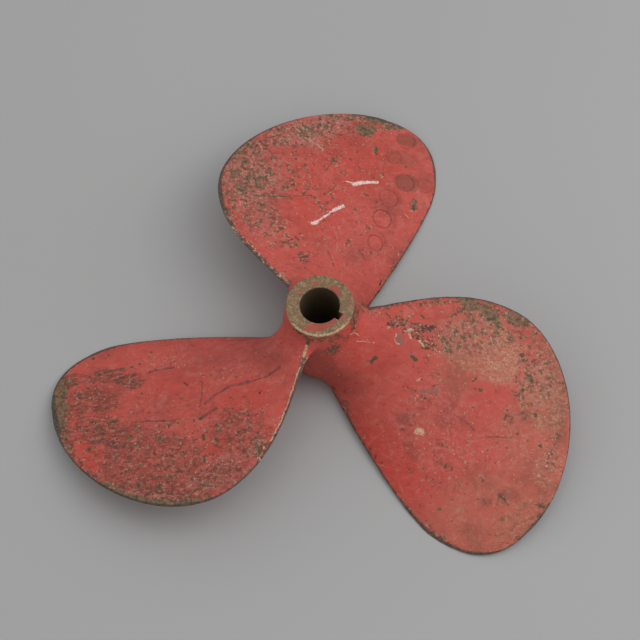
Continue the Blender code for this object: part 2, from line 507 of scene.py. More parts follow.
@dataclass
class Hub:
    """Builds the hub's meshes."""

    form: HubForm = field(default_factory=HubForm)
    merge: float = 0.005 * MM
    key_overlap: float = 10.0 * MM
    facing_depth: float = 40.0 * MM
    facing_gap: float = 0.01 * MM

    def build(self) -> bpy.types.Object:
        """Turn the hub's closed profile about the shaft axis.

        Returns:
            The hub.
        """
        rows = self.form.profile()
        bpy.ops.object.select_all(action="DESELECT")
        bpy.ops.mesh.primitive_circle_add(vertices=len(rows), radius=self.form.top_radius,
                                          rotation=(math.pi / 2.0, 0.0, 0.0))
        hub = bpy.context.object
        hub.name = "casting_surface"
        bpy.ops.object.transform_apply(location=True, rotation=True, scale=True)
        move_corners(hub, np.array([(radius, 0.0, z) for radius, z in rows]))
        bpy.ops.object.mode_set(mode="EDIT")
        bpy.ops.mesh.select_all(action="SELECT")
        bpy.ops.mesh.spin(steps=self.form.steps, angle=FULL_TURN, use_auto_merge=True,
                          center=(0.0, 0.0, 0.0), axis=(0.0, 0.0, 1.0))
        bpy.ops.mesh.select_all(action="SELECT")
        bpy.ops.mesh.remove_doubles(threshold=self.merge)
        bpy.ops.mesh.normals_make_consistent(inside=False)
        bpy.ops.object.mode_set(mode="OBJECT")
        return hub

    def key_cutter(self) -> bpy.types.Object:
        """Build the keyway's cutter, parallel to the bore's wall.

        Returns:
            The cutter.
        """
        over = self.key_overlap
        form = self.form
        bpy.ops.object.select_all(action="DESELECT")
        bpy.ops.mesh.primitive_cube_add(size=1.0)
        cutter = bpy.context.object
        cutter.name = "keyway"
        points = corners(cutter)
        high = np.where(points[:, 2] > 0.0, form.top_z + over, form.bottom_z - over)
        outer = form.key_radius - form.bore_taper / 2.0 * (form.top_z - high)
        move_corners(cutter, np.stack((np.where(points[:, 0] > 0.0, outer, 0.0),
                                       points[:, 1] * form.key_width, high), axis=1))
        return cutter

    def facing_cutter(self) -> bpy.types.Object:
        """Build the cutter that faces the hub's lower end flat.

        Returns:
            The cutter.
        """
        form = self.form
        middle = form.bottom_z - self.facing_gap - self.facing_depth / 2.0
        bpy.ops.object.select_all(action="DESELECT")
        bpy.ops.mesh.primitive_cylinder_add(vertices=form.steps, radius=form.facing_radius,
                                            depth=self.facing_depth, location=(0.0, 0.0, middle))
        cutter = bpy.context.object
        cutter.name = "facing"
        bpy.ops.object.transform_apply(location=True, rotation=True, scale=True)
        return cutter


@dataclass
class Blade:
    """Builds one blade's mesh from a flat grid."""

    form: BladeForm = field(default_factory=BladeForm)
    across_steps: int = 108
    along_steps: int = 122
    edge_crowding: float = 0.35
    tip_crowding: float = 0.55
    rim_wear: float = 0.55 * MM
    rim_grain: float = 14.0 * MM
    least_wear: float = 0.35
    wear_spread: float = 0.8
    tip_gap: float = 0.02 * MM

    def build(self, index: int) -> bpy.types.Object:
        """Build a blade from a grid, extruded to two skins that move to the blade's surface.

        Args:
            index: The blade's number, from 0.

        Returns:
            The closed blade.
        """
        bpy.ops.object.select_all(action="DESELECT")
        bpy.ops.mesh.primitive_grid_add(x_subdivisions=self.across_steps,
                                        y_subdivisions=self.along_steps, size=2.0)
        blade = bpy.context.object
        blade.name = f"blade_{index + 1}"
        bpy.ops.object.mode_set(mode="EDIT")
        bpy.ops.mesh.select_all(action="SELECT")
        bpy.ops.mesh.extrude_region_move(TRANSFORM_OT_translate={"value": (0.0, 0.0, 1.0)})
        bpy.ops.object.mode_set(mode="OBJECT")
        flat = corners(blade)
        s = ((1.0 - self.edge_crowding) * flat[:, 0]
             + self.edge_crowding * np.sin(math.pi / 2.0 * flat[:, 0]))
        along = (flat[:, 1] + 1.0) / 2.0
        along = ((1.0 - self.tip_crowding) * along
                 + self.tip_crowding * np.sin(math.pi / 2.0 * along))
        form = self.form
        radius = form.seated_radius + (form.radius - self.tip_gap - form.seated_radius) * along
        trim = self.rim_wear * self._unevenness(radius, s, index)
        points = form.place(s, radius, flat[:, 2] > 0.5, trim)
        turn = form.turn(index)
        spun = np.stack((points[:, 0] * math.cos(turn) - points[:, 1] * math.sin(turn),
                         points[:, 0] * math.sin(turn) + points[:, 1] * math.cos(turn),
                         points[:, 2]), axis=1)
        move_corners(blade, spun)
        activate(blade)
        bpy.ops.object.mode_set(mode="EDIT")
        bpy.ops.mesh.select_all(action="SELECT")
        bpy.ops.mesh.normals_make_consistent(inside=False)
        bpy.ops.object.mode_set(mode="OBJECT")
        return blade

    def _unevenness(self, radius: np.ndarray, s: np.ndarray, index: int) -> np.ndarray:
        """Wear the edge back unevenly along its length.

        Args:
            radius: The points' radii.
            s: Their places across the blade, -1 to 1.
            index: The blade's number.

        Returns:
            How worn the edge is there, 0 to 1.
        """
        worn = np.empty(len(radius))
        for i, (r, side) in enumerate(zip(radius, s)):
            spot = Vector((r / self.rim_grain, 3.0 if side > 0.0 else -3.0, 7.0 * index))
            worn[i] = noise.fractal(spot, 1.0, 2.0, 3)
        return np.clip(self.least_wear + self.wear_spread * worn, 0.0, 1.0)


# The marks of use, and painted shade
class Layer(Enum):
    """A look that is painted onto the casting's points."""

    WORN = "worn"
    PALE = "pale"
    VEIN = "vein"
    STAIN = "stain"
    BARE = "bare"
    # Painted shade: darker paint near the blades' roots and on the hub's lower wall, where shade
    # falls.
    PAINTED_SHADE = "shade"
    FRESH = "fresh"
    # Widens the dark edge line: worn edge metal, partly painted shade on the rounded edge.
    RIM_AND_SHADE = "rim"
    CRUST = "crust"


class Place(Enum):
    """The part of the casting that a zone lies on."""

    BLADES = "blades"
    RING = "ring"


@dataclass(frozen=True)
class Zone:
    """A patch of one look, an ellipse in the photograph."""

    layer: Layer
    at: Pixel
    reach: Pixel
    turn: float = 0.0
    strength: float = 1.0
    place: Place = Place.BLADES
    outer: float = 1.35
    inner: float = 0.55

    def weight(self, pixels: np.ndarray) -> np.ndarray:
        """Weigh the zone at some pixels, soft at its rim.

        Args:
            pixels: Places in the photograph, one row each.

        Returns:
            Its strength at each.
        """
        turn = math.radians(self.turn)
        dx, dy = pixels[:, 0] - self.at[0], pixels[:, 1] - self.at[1]
        along = (dx * math.cos(turn) + dy * math.sin(turn)) / self.reach[0]
        beside = (dy * math.cos(turn) - dx * math.sin(turn)) / self.reach[1]
        return self.strength * ease(np.hypot(along, beside), self.outer, self.inner)


class Tone(Enum):
    """The look of a small mark."""

    OLIVE = "olive"
    DARK = "dark"
    CREAM = "cream"
    WHITE = "white"
    MAROON = "maroon"
    SCRATCH = "scratch"
    # Soft brown smudges, and painted shade on the dents' walls.
    SHADOW = "smudge_and_shade"
    GREY = "grey"
    SPOT = "spot"


@dataclass(frozen=True)
class Mark:
    """A small mark: a spot at one pixel, or a stroke through several."""

    tone: Tone
    at: tuple[Pixel, ...]
    radius: float = 1.5


@dataclass(frozen=True)
class Dent:
    """A shallow round dent with a raised lip, from a blow."""

    at: Pixel
    radius: float
    depth: float
    floor: float = 0.45
    lip: float = 0.25
    lip_at: float = 1.08
    lip_width: float = 0.13

    def shift(self, away: np.ndarray) -> np.ndarray:
        """Move the surface in for the dent's dish and out for its lip.

        Args:
            away: Distances from its centre, in metres.

        Returns:
            How far the surface moves out there.
        """
        share = away / self.radius
        lip = np.exp(-((share - self.lip_at) / self.lip_width) ** 2)
        return self.depth * (self.lip * lip - ease(share, 1.0, self.floor))


W, P, V, S = Layer.WORN, Layer.PALE, Layer.VEIN, Layer.STAIN
B, D, F, R, X = Layer.BARE, Layer.PAINTED_SHADE, Layer.FRESH, Layer.RIM_AND_SHADE, Layer.CRUST

TOP_BLADE_ZONES = (
    Zone(W, (252, 176), (34, 34), 0, 0.78),
    Zone(W, (248, 182), (22, 20), 0, 1.05),
    Zone(W, (244, 158), (26, 14), -35, 1.0),
    Zone(W, (228, 196), (10, 24), -12, 0.75),
    Zone(W, (282, 176), (24, 22), 0, 0.66),
    Zone(W, (262, 218), (28, 20), 20, 0.66),
    Zone(W, (287, 241), (22, 7), -8, 0.55),
    Zone(W, (300, 134), (46, 18), -8, 0.72),
    Zone(W, (314, 129), (24, 9), -10, 1.05),
    Zone(W, (340, 118), (30, 4.5), 2, 1.1),
    Zone(W, (366, 130), (11, 6), 20, 1.6),
    Zone(W, (384, 123), (26, 5.5), 14, 1.35),
    Zone(W, (350, 128), (50, 10), 4, 0.5),
    Zone(W, (335, 160), (6, 14), 38, 0.55),
    Zone(W, (308, 141), (20, 5), 28, 0.6),
    Zone(W, (414, 206), (5, 6), 30, 1.2),
    Zone(W, (376, 150), (5, 5), 0, 0.9),
    Zone(W, (330, 170), (70, 50), 0, 0.30),
    Zone(W, (340, 240), (50, 30), 0, 0.22),
    Zone(P, (250, 178), (34, 38), 0, 1.0),
    Zone(P, (304, 131), (48, 16), -10, 1.1),
    Zone(P, (308, 141), (24, 7), 28, 1.2),
    Zone(P, (266, 226), (34, 24), 30, 0.8),
    Zone(P, (340, 117), (50, 6), 4, 0.9),
    Zone(P, (365, 232), (50, 40), 0, 0.35),
    Zone(B, (226, 216), (12, 6), 54, 0.7),
    Zone(B, (240, 235), (14, 6), 50, 0.78),
    Zone(B, (256, 251), (18, 6), 46, 0.80),
    Zone(B, (281, 272), (20, 6), 42, 0.80),
    Zone(S, (384, 123), (26, 6), 12, 0.8),
    Zone(S, (262, 140), (30, 8), -30, 0.6),
    Zone(S, (300, 138), (60, 26), -8, 0.38),
    Zone(S, (250, 190), (34, 50), 0, 0.40),
    Zone(S, (345, 122), (50, 10), 4, 0.45),
    Zone(S, (306, 255), (6, 5.5), 0, 1.1),
    Zone(S, (232, 178), (12, 28), 0, 0.5),
    Zone(S, (300, 262), (20, 8), 15, 0.35),
    Zone(F, (360, 170), (46, 34), 0, 0.6),
    Zone(F, (315, 215), (36, 26), 0, 0.45),
    # Wider dark edge line: worn edge, partly painted shade on the rounded edge.
    Zone(R, (232, 176), (22, 60), 12, 0.85),
    Zone(R, (270, 130), (40, 20), -32, 1.0),
    Zone(R, (250, 250), (50, 20), 46, 0.4),
    Zone(R, (360, 115), (60, 14), 8, 0.55),
    Zone(R, (425, 150), (14, 30), -15, 0.5),
)

RIGHT_BLADE_ZONES = (
    Zone(W, (474, 304), (18, 7), 20, 1.6),
    Zone(W, (488, 315), (16, 7), 38, 1.8),
    Zone(W, (517, 318), (16, 7), 24, 1.5),
    Zone(W, (500, 308), (36, 10), 16, 0.9),
    Zone(W, (500, 322), (62, 28), 10, 0.58),
    Zone(W, (446, 348), (6, 9), -20, 1.0),
    Zone(W, (468, 340), (38, 22), 0, 0.62),
    Zone(W, (440, 372), (14, 12), 0, 0.40),
    Zone(W, (425, 393), (22, 6), -18, 0.42),
    Zone(W, (538, 374), (20, 32), -14, 0.66),
    Zone(W, (529, 392), (16, 28), -10, 0.60),
    Zone(W, (514, 418), (16, 11), 0, 0.62),
    Zone(W, (553, 452), (8, 24), 10, 0.60),
    Zone(W, (505, 496), (14, 7), 0, 0.50),
    Zone(W, (485, 501), (9, 7), 0, 0.50),
    Zone(W, (541, 506), (7, 4), 30, 1.2),
    Zone(W, (438, 533), (14, 4), 38, 0.95),
    Zone(W, (450, 465), (44, 30), 0, 0.30),
    Zone(W, (405, 421), (14, 12), 0, 0.48),
    Zone(W, (345, 410), (5, 10), -30, 0.8),
    Zone(W, (430, 303), (36, 3), -5, 0.9),
    Zone(W, (404, 318), (20, 9), 0, 0.45),
    Zone(P, (500, 358), (26, 30), 0, 0.8),
    Zone(P, (480, 345), (48, 38), 0, 0.7),
    Zone(P, (538, 400), (22, 40), -10, 0.6),
    Zone(P, (505, 440), (50, 34), 0, 0.55),
    Zone(P, (548, 465), (18, 30), 20, 0.8),
    Zone(P, (470, 510), (60, 34), 0, 0.25),
    Zone(P, (440, 430), (58, 48), 20, 0.6),
    Zone(P, (425, 393), (28, 8), -18, 0.7),
    Zone(V, (500, 357), (23, 25), 0, 1.15),
    Zone(V, (480, 345), (44, 36), 0, 0.62),
    Zone(V, (455, 372), (24, 26), 0, 0.28),
    Zone(V, (542, 398), (26, 46), -10, 0.64),
    Zone(V, (552, 390), (26, 64), -4, 0.5),
    Zone(V, (535, 440), (42, 44), 0, 0.40),
    Zone(V, (548, 466), (20, 30), 20, 0.5),
    Zone(V, (490, 515), (66, 44), -20, 0.42),
    Zone(V, (520, 520), (50, 22), -38, 0.52),
    Zone(X, (396, 324.5), (11, 4.5), 0, 1.0),
    Zone(X, (421, 326.5), (17, 5), 2, 0.85),
    Zone(X, (414, 334), (13, 6), 12, 0.7),
    Zone(X, (426, 343), (12, 6.5), 28, 0.85),
    Zone(X, (436, 336), (12, 8), 20, 0.42),
    Zone(X, (441, 352), (9, 7), 20, 0.3),
    Zone(S, (556, 390), (14, 60), -4, 0.55),
    Zone(S, (545, 340), (18, 30), -35, 0.4),
    Zone(S, (404, 434), (13, 28), -10, 0.17),
    Zone(S, (520, 522), (60, 24), -38, 0.38),
    Zone(S, (545, 476), (15, 32), 8, 0.42),
    # Painted shade: darker paint at the right blade's root and on the hub's lower wall beside it.
    Zone(D, (350, 384), (20, 14), 20, 0.40),
    Zone(D, (322, 360), (14, 9), 10, 0.50),
    Zone(F, (388, 462), (26, 50), -35, 0.95),
    Zone(F, (372, 350), (34, 24), 20, 0.45),
    Zone(F, (400, 310), (40, 14), 0, 0.4),
    # Wider dark edge line: worn edge, partly painted shade on the rounded edge.
    Zone(R, (560, 400), (14, 50), -8, 0.35),
    Zone(R, (455, 540), (60, 26), 30, 0.5),
)

LOWER_BLADE_ZONES = (
    Zone(W, (57, 406), (11, 28), 3, 2.2),
    Zone(S, (62, 440), (9, 22), -28, 1.0),
    Zone(S, (70, 380), (10, 12), 40, 0.8),
    Zone(W, (62, 437), (7, 18), -28, 1.0),
    Zone(W, (68, 384), (10, 12), 40, 0.7),
    Zone(W, (90, 476), (6, 34), -50, 0.8),
    Zone(W, (150, 501), (52, 6), 4, 1.8),
    Zone(W, (118, 491), (26, 6), 24, 1.3),
    Zone(W, (192, 502), (28, 5), -8, 1.3),
    Zone(S, (150, 497), (60, 9), 4, 1.3),
    Zone(W, (101, 378), (24, 8), -4, 0.45),
    Zone(W, (127, 381), (16, 7), 10, 0.5),
    Zone(W, (94, 402), (28, 18), 0, 0.45),
    Zone(W, (98, 432), (26, 20), 20, 0.45),
    Zone(W, (150, 430), (54, 22), 4, 0.38),
    Zone(W, (150, 458), (68, 30), 0, 0.46),
    Zone(W, (170, 480), (66, 20), 0, 0.46),
    Zone(W, (240, 434), (32, 28), 0, 0.48),
    Zone(W, (260, 446), (10, 12), 0, 0.65),
    Zone(W, (214, 466), (34, 16), -25, 0.38),
    Zone(W, (225, 418), (16, 8), -50, 0.4),
    Zone(P, (165, 363), (40, 10), -8, 0.7),
    Zone(P, (228, 372), (34, 11), -12, 0.6),
    Zone(P, (210, 430), (90, 50), 0, 0.28),
    Zone(P, (225, 470), (48, 22), -30, 0.75),
    Zone(P, (150, 468), (70, 34), 0, 0.28),
    Zone(B, (304, 354), (5, 12), 12, 0.8),
    Zone(B, (262, 460), (8, 12), 45, 0.6),
    Zone(S, (103, 377), (26, 9), -6, 0.7),
    Zone(S, (128, 381), (18, 9), 8, 0.80),
    Zone(S, (93, 401), (28, 16), 0, 0.72),
    Zone(S, (72, 420), (14, 26), 10, 0.6),
    Zone(S, (104, 434), (34, 18), 10, 0.75),
    Zone(S, (140, 440), (50, 20), 10, 0.62),
    Zone(S, (155, 458), (70, 30), 4, 0.60),
    Zone(S, (150, 484), (70, 18), 6, 0.66),
    Zone(S, (240, 436), (38, 34), 0, 0.52),
    Zone(S, (262, 448), (16, 15), 0, 0.8),
    Zone(S, (214, 478), (36, 16), -25, 0.8),
    Zone(S, (165, 410), (60, 16), 4, 0.30),
    Zone(S, (301, 329), (14, 5), 34, 0.9),
    Zone(S, (354, 318), (5, 15), 6, 0.9),
    Zone(S, (333, 349), (9, 6), -30, 0.7),
    Zone(W, (301, 329), (13, 4), 34, 0.8),
    Zone(W, (354, 320), (4, 13), 6, 1.0),
    Zone(W, (333, 348), (8, 5), -30, 0.9),
    Zone(W, (325, 338), (22, 4), -4, 0.7),
    Zone(W, (365, 306), (8, 4), 30, 0.9),
    Zone(S, (330, 338), (30, 4), 0, 0.5),
    # Painted shade: a faint darker band across the lower blade's upper part.
    Zone(D, (232, 366), (70, 10), -6, 0.15),
    Zone(F, (92, 458), (13, 15), -20, 1.0),
    Zone(F, (218, 449), (14, 9), -10, 0.95),
    Zone(F, (66, 437), (8, 10), -35, 0.6),
    Zone(F, (246, 400), (26, 18), -20, 0.6),
    Zone(F, (180, 385), (36, 18), 0, 0.4),
    # Wider dark edge line: worn edge, partly painted shade on the rounded edge.
    Zone(R, (54, 405), (16, 44), 3, 1.3),
    Zone(R, (96, 482), (74, 26), 26, 0.9),
    Zone(R, (160, 506), (60, 14), 0, 0.6),
    Zone(R, (90, 350), (44, 18), -28, 0.7),
)

RING_ZONES = (
    Zone(F, (318, 284), (13, 2.6), 2, 0.55, Place.RING),
    Zone(F, (336, 291), (4.5, 8), -40, 0.75, Place.RING),
    Zone(F, (299, 293), (3.5, 6), 35, 0.40, Place.RING),
    Zone(F, (316, 327), (15, 4.4), -8, 1.0, Place.RING),
    Zone(F, (332, 322), (6, 4.0), -30, 0.9, Place.RING),
    Zone(F, (343, 317), (3.0, 5), 20, 0.6, Place.RING),
    Zone(F, (348, 300), (2.6, 8), 0, 0.45, Place.RING),
)

ZONES = TOP_BLADE_ZONES + RIGHT_BLADE_ZONES + LOWER_BLADE_ZONES + RING_ZONES

DENTS = (
    Dent((406, 141), 11.0 * MM, 0.30 * MM),
    Dent((394, 157), 9.0 * MM, 0.25 * MM),
    Dent((405, 183), 11.0 * MM, 0.35 * MM),
    Dent((388.5, 198.5), 11.5 * MM, 0.40 * MM),
    Dent((382, 219), 11.5 * MM, 0.55 * MM),
    Dent((375, 243), 9.5 * MM, 0.40 * MM),
    Dent((425, 186), 9.0 * MM, 0.25 * MM),
)

O, K, C, H = Tone.OLIVE, Tone.DARK, Tone.CREAM, Tone.WHITE
M, T, L, G, N = Tone.MAROON, Tone.SCRATCH, Tone.SHADOW, Tone.GREY, Tone.SPOT

TOP_BLADE_MARKS = (
    Mark(H, ((353.5, 184.3), (359, 183.4)), 3.2),
    Mark(H, ((360, 183.0), (368, 182.2), (377, 182.4)), 2.5),
    Mark(H, ((346, 181.2), (353, 183)), 1.0),
    Mark(H, ((312.5, 223.2), (317, 222.2)), 3.2),
    Mark(H, ((316, 222.0), (328, 214), (335, 210)), 1.4),
    Mark(H, ((334, 210.2), (343, 206)), 2.5),
    Mark(K, ((353.2, 234.8),), 1.0),
    Mark(K, ((339.1, 239.7),), 1.0),
    Mark(K, ((264.7, 219.8),), 1.0),
    Mark(O, ((376, 148), (376.5, 153.5)), 2.5),
    Mark(N, ((402.5, 140), (411, 141.5)), 9.0),
    Mark(N, ((403, 182.5), (410, 183)), 13.0),
    Mark(L, ((426, 180), (426, 186)), 13.0),
    Mark(L, ((392, 157), (412, 160)), 13.0),
    Mark(G, ((257, 198.5), (264, 201)), 1.4),
    Mark(G, ((257, 206), (260.5, 209)), 1.9),
    Mark(G, ((266, 203), (270, 204)), 1.4),
    Mark(O, ((376, 201.4),), 1.9),
    Mark(O, ((373.5, 178),), 1.9),
    Mark(O, ((348.5, 241),), 2.5),
    Mark(O, ((341, 172.5),), 1.9),
    Mark(O, ((325, 194), (331, 190.5), (336.5, 184.5)), 0.8),
    Mark(O, ((324.8, 194.2),), 1.9),
    Mark(O, ((314.5, 197.5),), 1.9),
    Mark(O, ((325, 171.5), (333, 160.5), (342, 150.5)), 0.8),
    Mark(O, ((341.5, 155.5),), 1.9),
    Mark(O, ((350.5, 159.5),), 1.9),
    Mark(O, ((362.5, 158.5),), 1.4),
    Mark(O, ((324, 146.5),), 1.9),
    Mark(O, ((295.5, 158.8),), 1.9),
    Mark(O, ((270, 214),), 1.9),
    Mark(O, ((281, 157.5),), 1.4),
    Mark(O, ((353, 132.5),), 1.4),
    Mark(O, ((406, 167),), 1.9),
    Mark(O, ((269, 235.5),), 1.4),
    Mark(O, ((255, 195.6), (280, 196.6), (312, 195.4)), 0.8),
    Mark(C, ((294, 126.5), (300, 132)), 0.8),
    Mark(C, ((305, 137.5), (313, 141)), 0.8),
    Mark(C, ((317, 144), (323, 150)), 1.0),
    Mark(T, ((258, 139.5), (266, 147), (276, 158)), 1.4),
    Mark(T, ((327, 250), (331, 258), (334, 266)), 1.0),
    Mark(T, ((358, 248), (362, 254), (366, 260.5)), 1.4),
    # Painted shade: dark crescents and thin arcs on the dents' walls that face away from the light.
    Mark(L, ((394, 189), (399.5, 196), (400, 203)), 3.2),
    Mark(L, ((388, 210), (393.5, 216), (394.5, 226)), 4.5),
    Mark(L, ((380, 233), (384.5, 238), (386, 244)), 3.2),
    Mark(L, ((371, 208), (381, 206.5), (389, 210.5)), 1.4),
    Mark(L, ((366, 233), (375, 230.5), (381, 234)), 1.4),
    Mark(K, ((275.5, 241.7),), 1.0),
    Mark(K, ((283, 236.2),), 1.0),
    Mark(K, ((288, 240.5), (293, 239)), 1.0),
    Mark(K, ((294.5, 236.6), (298, 240)), 1.0),
    Mark(C, ((365.8, 214.6),), 1.0),
    Mark(C, ((404.5, 214), (409, 218.5)), 0.8),
    Mark(K, ((380, 284.5), (381.5, 281)), 1.4),
    Mark(K, ((290.5, 281.5),), 1.9),
)

RIGHT_BLADE_MARKS = (
    Mark(C, ((417.6, 431.4), (421.0, 432.0)), 4.5),
    Mark(C, ((417.5, 380.5), (421, 379)), 1.4),
    Mark(K, ((421.8, 379.4),), 1.4),
    Mark(O, ((371.5, 361.5), (376, 357.5)), 2.5),
    Mark(O, ((412.5, 356.5), (416, 360.5)), 2.5),
    Mark(O, ((522.5, 355.4),), 3.2),
    Mark(O, ((522.6, 390),), 2.5),
    Mark(O, ((480.5, 390),), 2.5),
    Mark(O, ((473, 381), (476, 378)), 1.4),
    Mark(O, ((536, 415.7),), 2.5),
    Mark(O, ((540.5, 445.8),), 2.5),
    Mark(O, ((439, 509),), 1.9),
    Mark(O, ((494, 318.5), (488, 319.5)), 2.5),
    Mark(O, ((421, 315), (424, 318)), 1.4),
    Mark(O, ((398, 306),), 1.4),
    Mark(O, ((544, 507.5), (539, 504.5)), 1.9),
    Mark(O, ((452.5, 469.5),), 1.4),
    Mark(O, ((409.5, 469),), 1.4),
    Mark(K, ((405, 402.6),), 0.8),
    Mark(K, ((475, 465.3),), 0.8),
    Mark(K, ((466.5, 483.5),), 1.0),
    Mark(K, ((364.5, 350.3),), 0.8),
    Mark(K, ((439.5, 331.5),), 0.8),
    Mark(K, ((435.5, 327.3),), 0.8),
    Mark(K, ((430.2, 354),), 1.0),
    Mark(O, ((422.5, 326), (423, 331.5)), 1.9),
    Mark(G, ((414, 326.5), (418, 326)), 1.9),
    Mark(C, ((405.5, 331.0), (412.5, 329.8)), 1.9),
    Mark(C, ((408.5, 334), (411, 338)), 1.4),
    Mark(C, ((419.5, 341), (424, 346.5)), 1.4),
    Mark(C, ((425, 340.5), (428, 342)), 1.0),
    Mark(M, ((388, 323.5), (392, 325)), 1.9),
    Mark(M, ((424, 329), (433, 327.5)), 1.9),
    Mark(C, ((388.5, 327.6),), 1.4),
    Mark(C, ((396.5, 334.5), (394.5, 338), (396, 342.5), (399, 344)), 1.0),
    Mark(C, ((350, 334.5), (354, 333.0), (359, 335.2)), 0.8),
    Mark(C, ((357, 341.3), (366, 341.5), (375, 343.3)), 0.8),
    Mark(G, ((411, 354), (414, 358)), 2.5),
    Mark(G, ((398.5, 336.5), (401, 342)), 4.5),
    Mark(G, ((409.5, 315.5),), 2.5),
    Mark(G, ((420, 391), (437, 391.5)), 2.5),
    Mark(C, ((372, 317.5),), 1.4),
    Mark(C, ((409.5, 316),), 1.4),
    Mark(L, ((504, 496), (512, 494.5)), 9.0),
    Mark(L, ((485, 502),), 9.0),
    Mark(L, ((403, 419),), 9.0),
    Mark(L, ((409, 445), (414, 456)), 9.0),
    Mark(T, ((457, 416.5), (466, 422.0), (475, 430.5)), 1.0),
    Mark(T, ((482, 437.2), (498, 437.2), (512, 438)), 0.8),
    Mark(C, ((538, 476),), 1.4),
    Mark(C, ((546.5, 467),), 1.4),
    Mark(C, ((549.2, 453.5),), 1.4),
    Mark(M, ((353.5, 318), (354.6, 323.5), (353.8, 329)), 1.4),
    Mark(O, ((330.5, 352.5), (334.5, 346.5)), 1.4),
    Mark(K, ((333.2, 349.2),), 1.0),
    Mark(O, ((358.5, 305.5), (364, 312)), 1.4),
    Mark(K, ((332, 385.5), (334.5, 388.5)), 1.4),
)

LOWER_BLADE_MARKS = (
    Mark(O, ((130.2, 436.6),), 3.2),
    Mark(O, ((123.4, 446.4),), 2.5),
    Mark(O, ((158.2, 438.8),), 2.5),
    Mark(O, ((137.9, 442.5),), 1.9),
    Mark(O, ((200.5, 418.4),), 3.2),
    Mark(O, ((203, 435), (204, 439)), 1.9),
    Mark(O, ((216.4, 424.6),), 1.9),
    Mark(O, ((141.8, 393.4),), 1.9),
    Mark(O, ((182, 398.2),), 1.9),
    Mark(O, ((200.9, 382.2),), 1.4),
    Mark(O, ((93.6, 358.6),), 2.5),
    Mark(O, ((132, 367),), 2.5),
    Mark(O, ((140.2, 364.2),), 1.9),
    Mark(O, ((150.7, 352.3),), 1.9),
    Mark(O, ((159.6, 486.2),), 3.2),
    Mark(O, ((138.8, 485.4),), 3.2),
    Mark(O, ((181, 471.5),), 2.5),
    Mark(O, ((89, 449.6),), 3.2),
    Mark(O, ((115, 421.8), (110.5, 421.5)), 1.9),
    Mark(O, ((114, 453),), 1.9),
    Mark(O, ((166.4, 455.9),), 1.9),
    Mark(O, ((213, 455),), 1.9),
    Mark(O, ((277, 353.8),), 1.4),
    Mark(O, ((102, 399.5),), 1.9),
    Mark(O, ((238, 432),), 1.9),
    Mark(O, ((229.5, 413),), 1.9),
    Mark(K, ((260, 392.6),), 1.9),
    Mark(K, ((286.4, 375.2),), 1.0),
    Mark(K, ((281, 342.8),), 1.0),
    Mark(K, ((121.3, 377.9),), 1.0),
    Mark(K, ((125.7, 361.8),), 1.0),
    Mark(K, ((226.6, 341.6),), 1.0),
    Mark(K, ((247.5, 343.5),), 1.0),
    Mark(K, ((168.5, 402),), 0.8),
    Mark(M, ((183.5, 382.5), (187.5, 385.5)), 1.4),
    Mark(T, ((279.3, 367.5), (266.8, 376.4)), 2.5),
    Mark(T, ((266.8, 376.4), (250.7, 381.8)), 1.4),
    Mark(T, ((250, 381.5), (229.3, 386.4), (216, 394.6), (205, 403.4)), 2.5),
    Mark(T, ((216, 408.8), (207, 414.0), (200.5, 418.0)), 2.5),
    Mark(T, ((202, 383.5), (202.4, 393.5), (199.5, 407)), 1.0),
    Mark(T, ((138, 421.5), (158, 421.0), (176, 421)), 1.4),
    Mark(T, ((94, 441), (106, 444), (118, 448)), 1.9),
    Mark(T, ((150, 372), (164, 368.8), (173, 368)), 1.9),
    Mark(O, ((96, 376), (110, 371), (124, 368.5)), 1.4),
    Mark(C, ((307.0, 345.5), (305.0, 351), (303, 357)), 1.9),
    Mark(C, ((303, 357), (296.5, 377)), 1.0),
    Mark(C, ((296.5, 377), (287.5, 404), (280.5, 422), (270.5, 441)), 0.8),
    Mark(O, ((308.5, 340.5), (307.5, 344.0)), 2.5),
    Mark(K, ((303.3, 351),), 1.0),
    Mark(C, ((257.5, 458.2),), 1.4),
    Mark(C, ((264.2, 447.8),), 1.4),
)

MARKS = TOP_BLADE_MARKS + RIGHT_BLADE_MARKS + LOWER_BLADE_MARKS


# Shader sums
class Wire:
    """A socket of a shader tree whose sums add Math nodes."""

    def __init__(self, board: "Board", socket: bpy.types.NodeSocket) -> None:
        """Hold a socket of a board's tree."""
        self.board = board
        self.socket = socket

    def __add__(self, other: Wire | float) -> Wire:
        """Add a wire or a number."""
        return self.board.sum("ADD", self, other)

    __radd__ = __add__

    def __sub__(self, other: Wire | float) -> Wire:
        """Take a wire or a number away."""
        return self.board.sum("SUBTRACT", self, other)

    def __rsub__(self, other: float) -> Wire:
        """Take this wire away from a number."""
        return self.board.sum("SUBTRACT", other, self)

    def __mul__(self, other: Wire | float) -> Wire:
        """Multiply by a wire or a number."""
        return self.board.sum("MULTIPLY", self, other)

    __rmul__ = __mul__

    def __abs__(self) -> Wire:
        """Return the size without the sign."""
        return self.board.sum("ABSOLUTE", self)

    def most(self, other: Wire | float) -> Wire:
        """Return the larger of two."""
        return self.board.sum("MAXIMUM", self, other)

    def least(self, other: Wire | float) -> Wire:
        """Return the smaller of two."""
        return self.board.sum("MINIMUM", self, other)

    def rise(self, low: float, high: float) -> Wire:
        """Rise smoothly from 0 at low to 1 at high, or fall where high is below low."""
        return self.board.node("ShaderNodeMapRange", {"interpolation_type": "SMOOTHSTEP"},
                               {"Value": self, "From Min": low, "From Max": high})


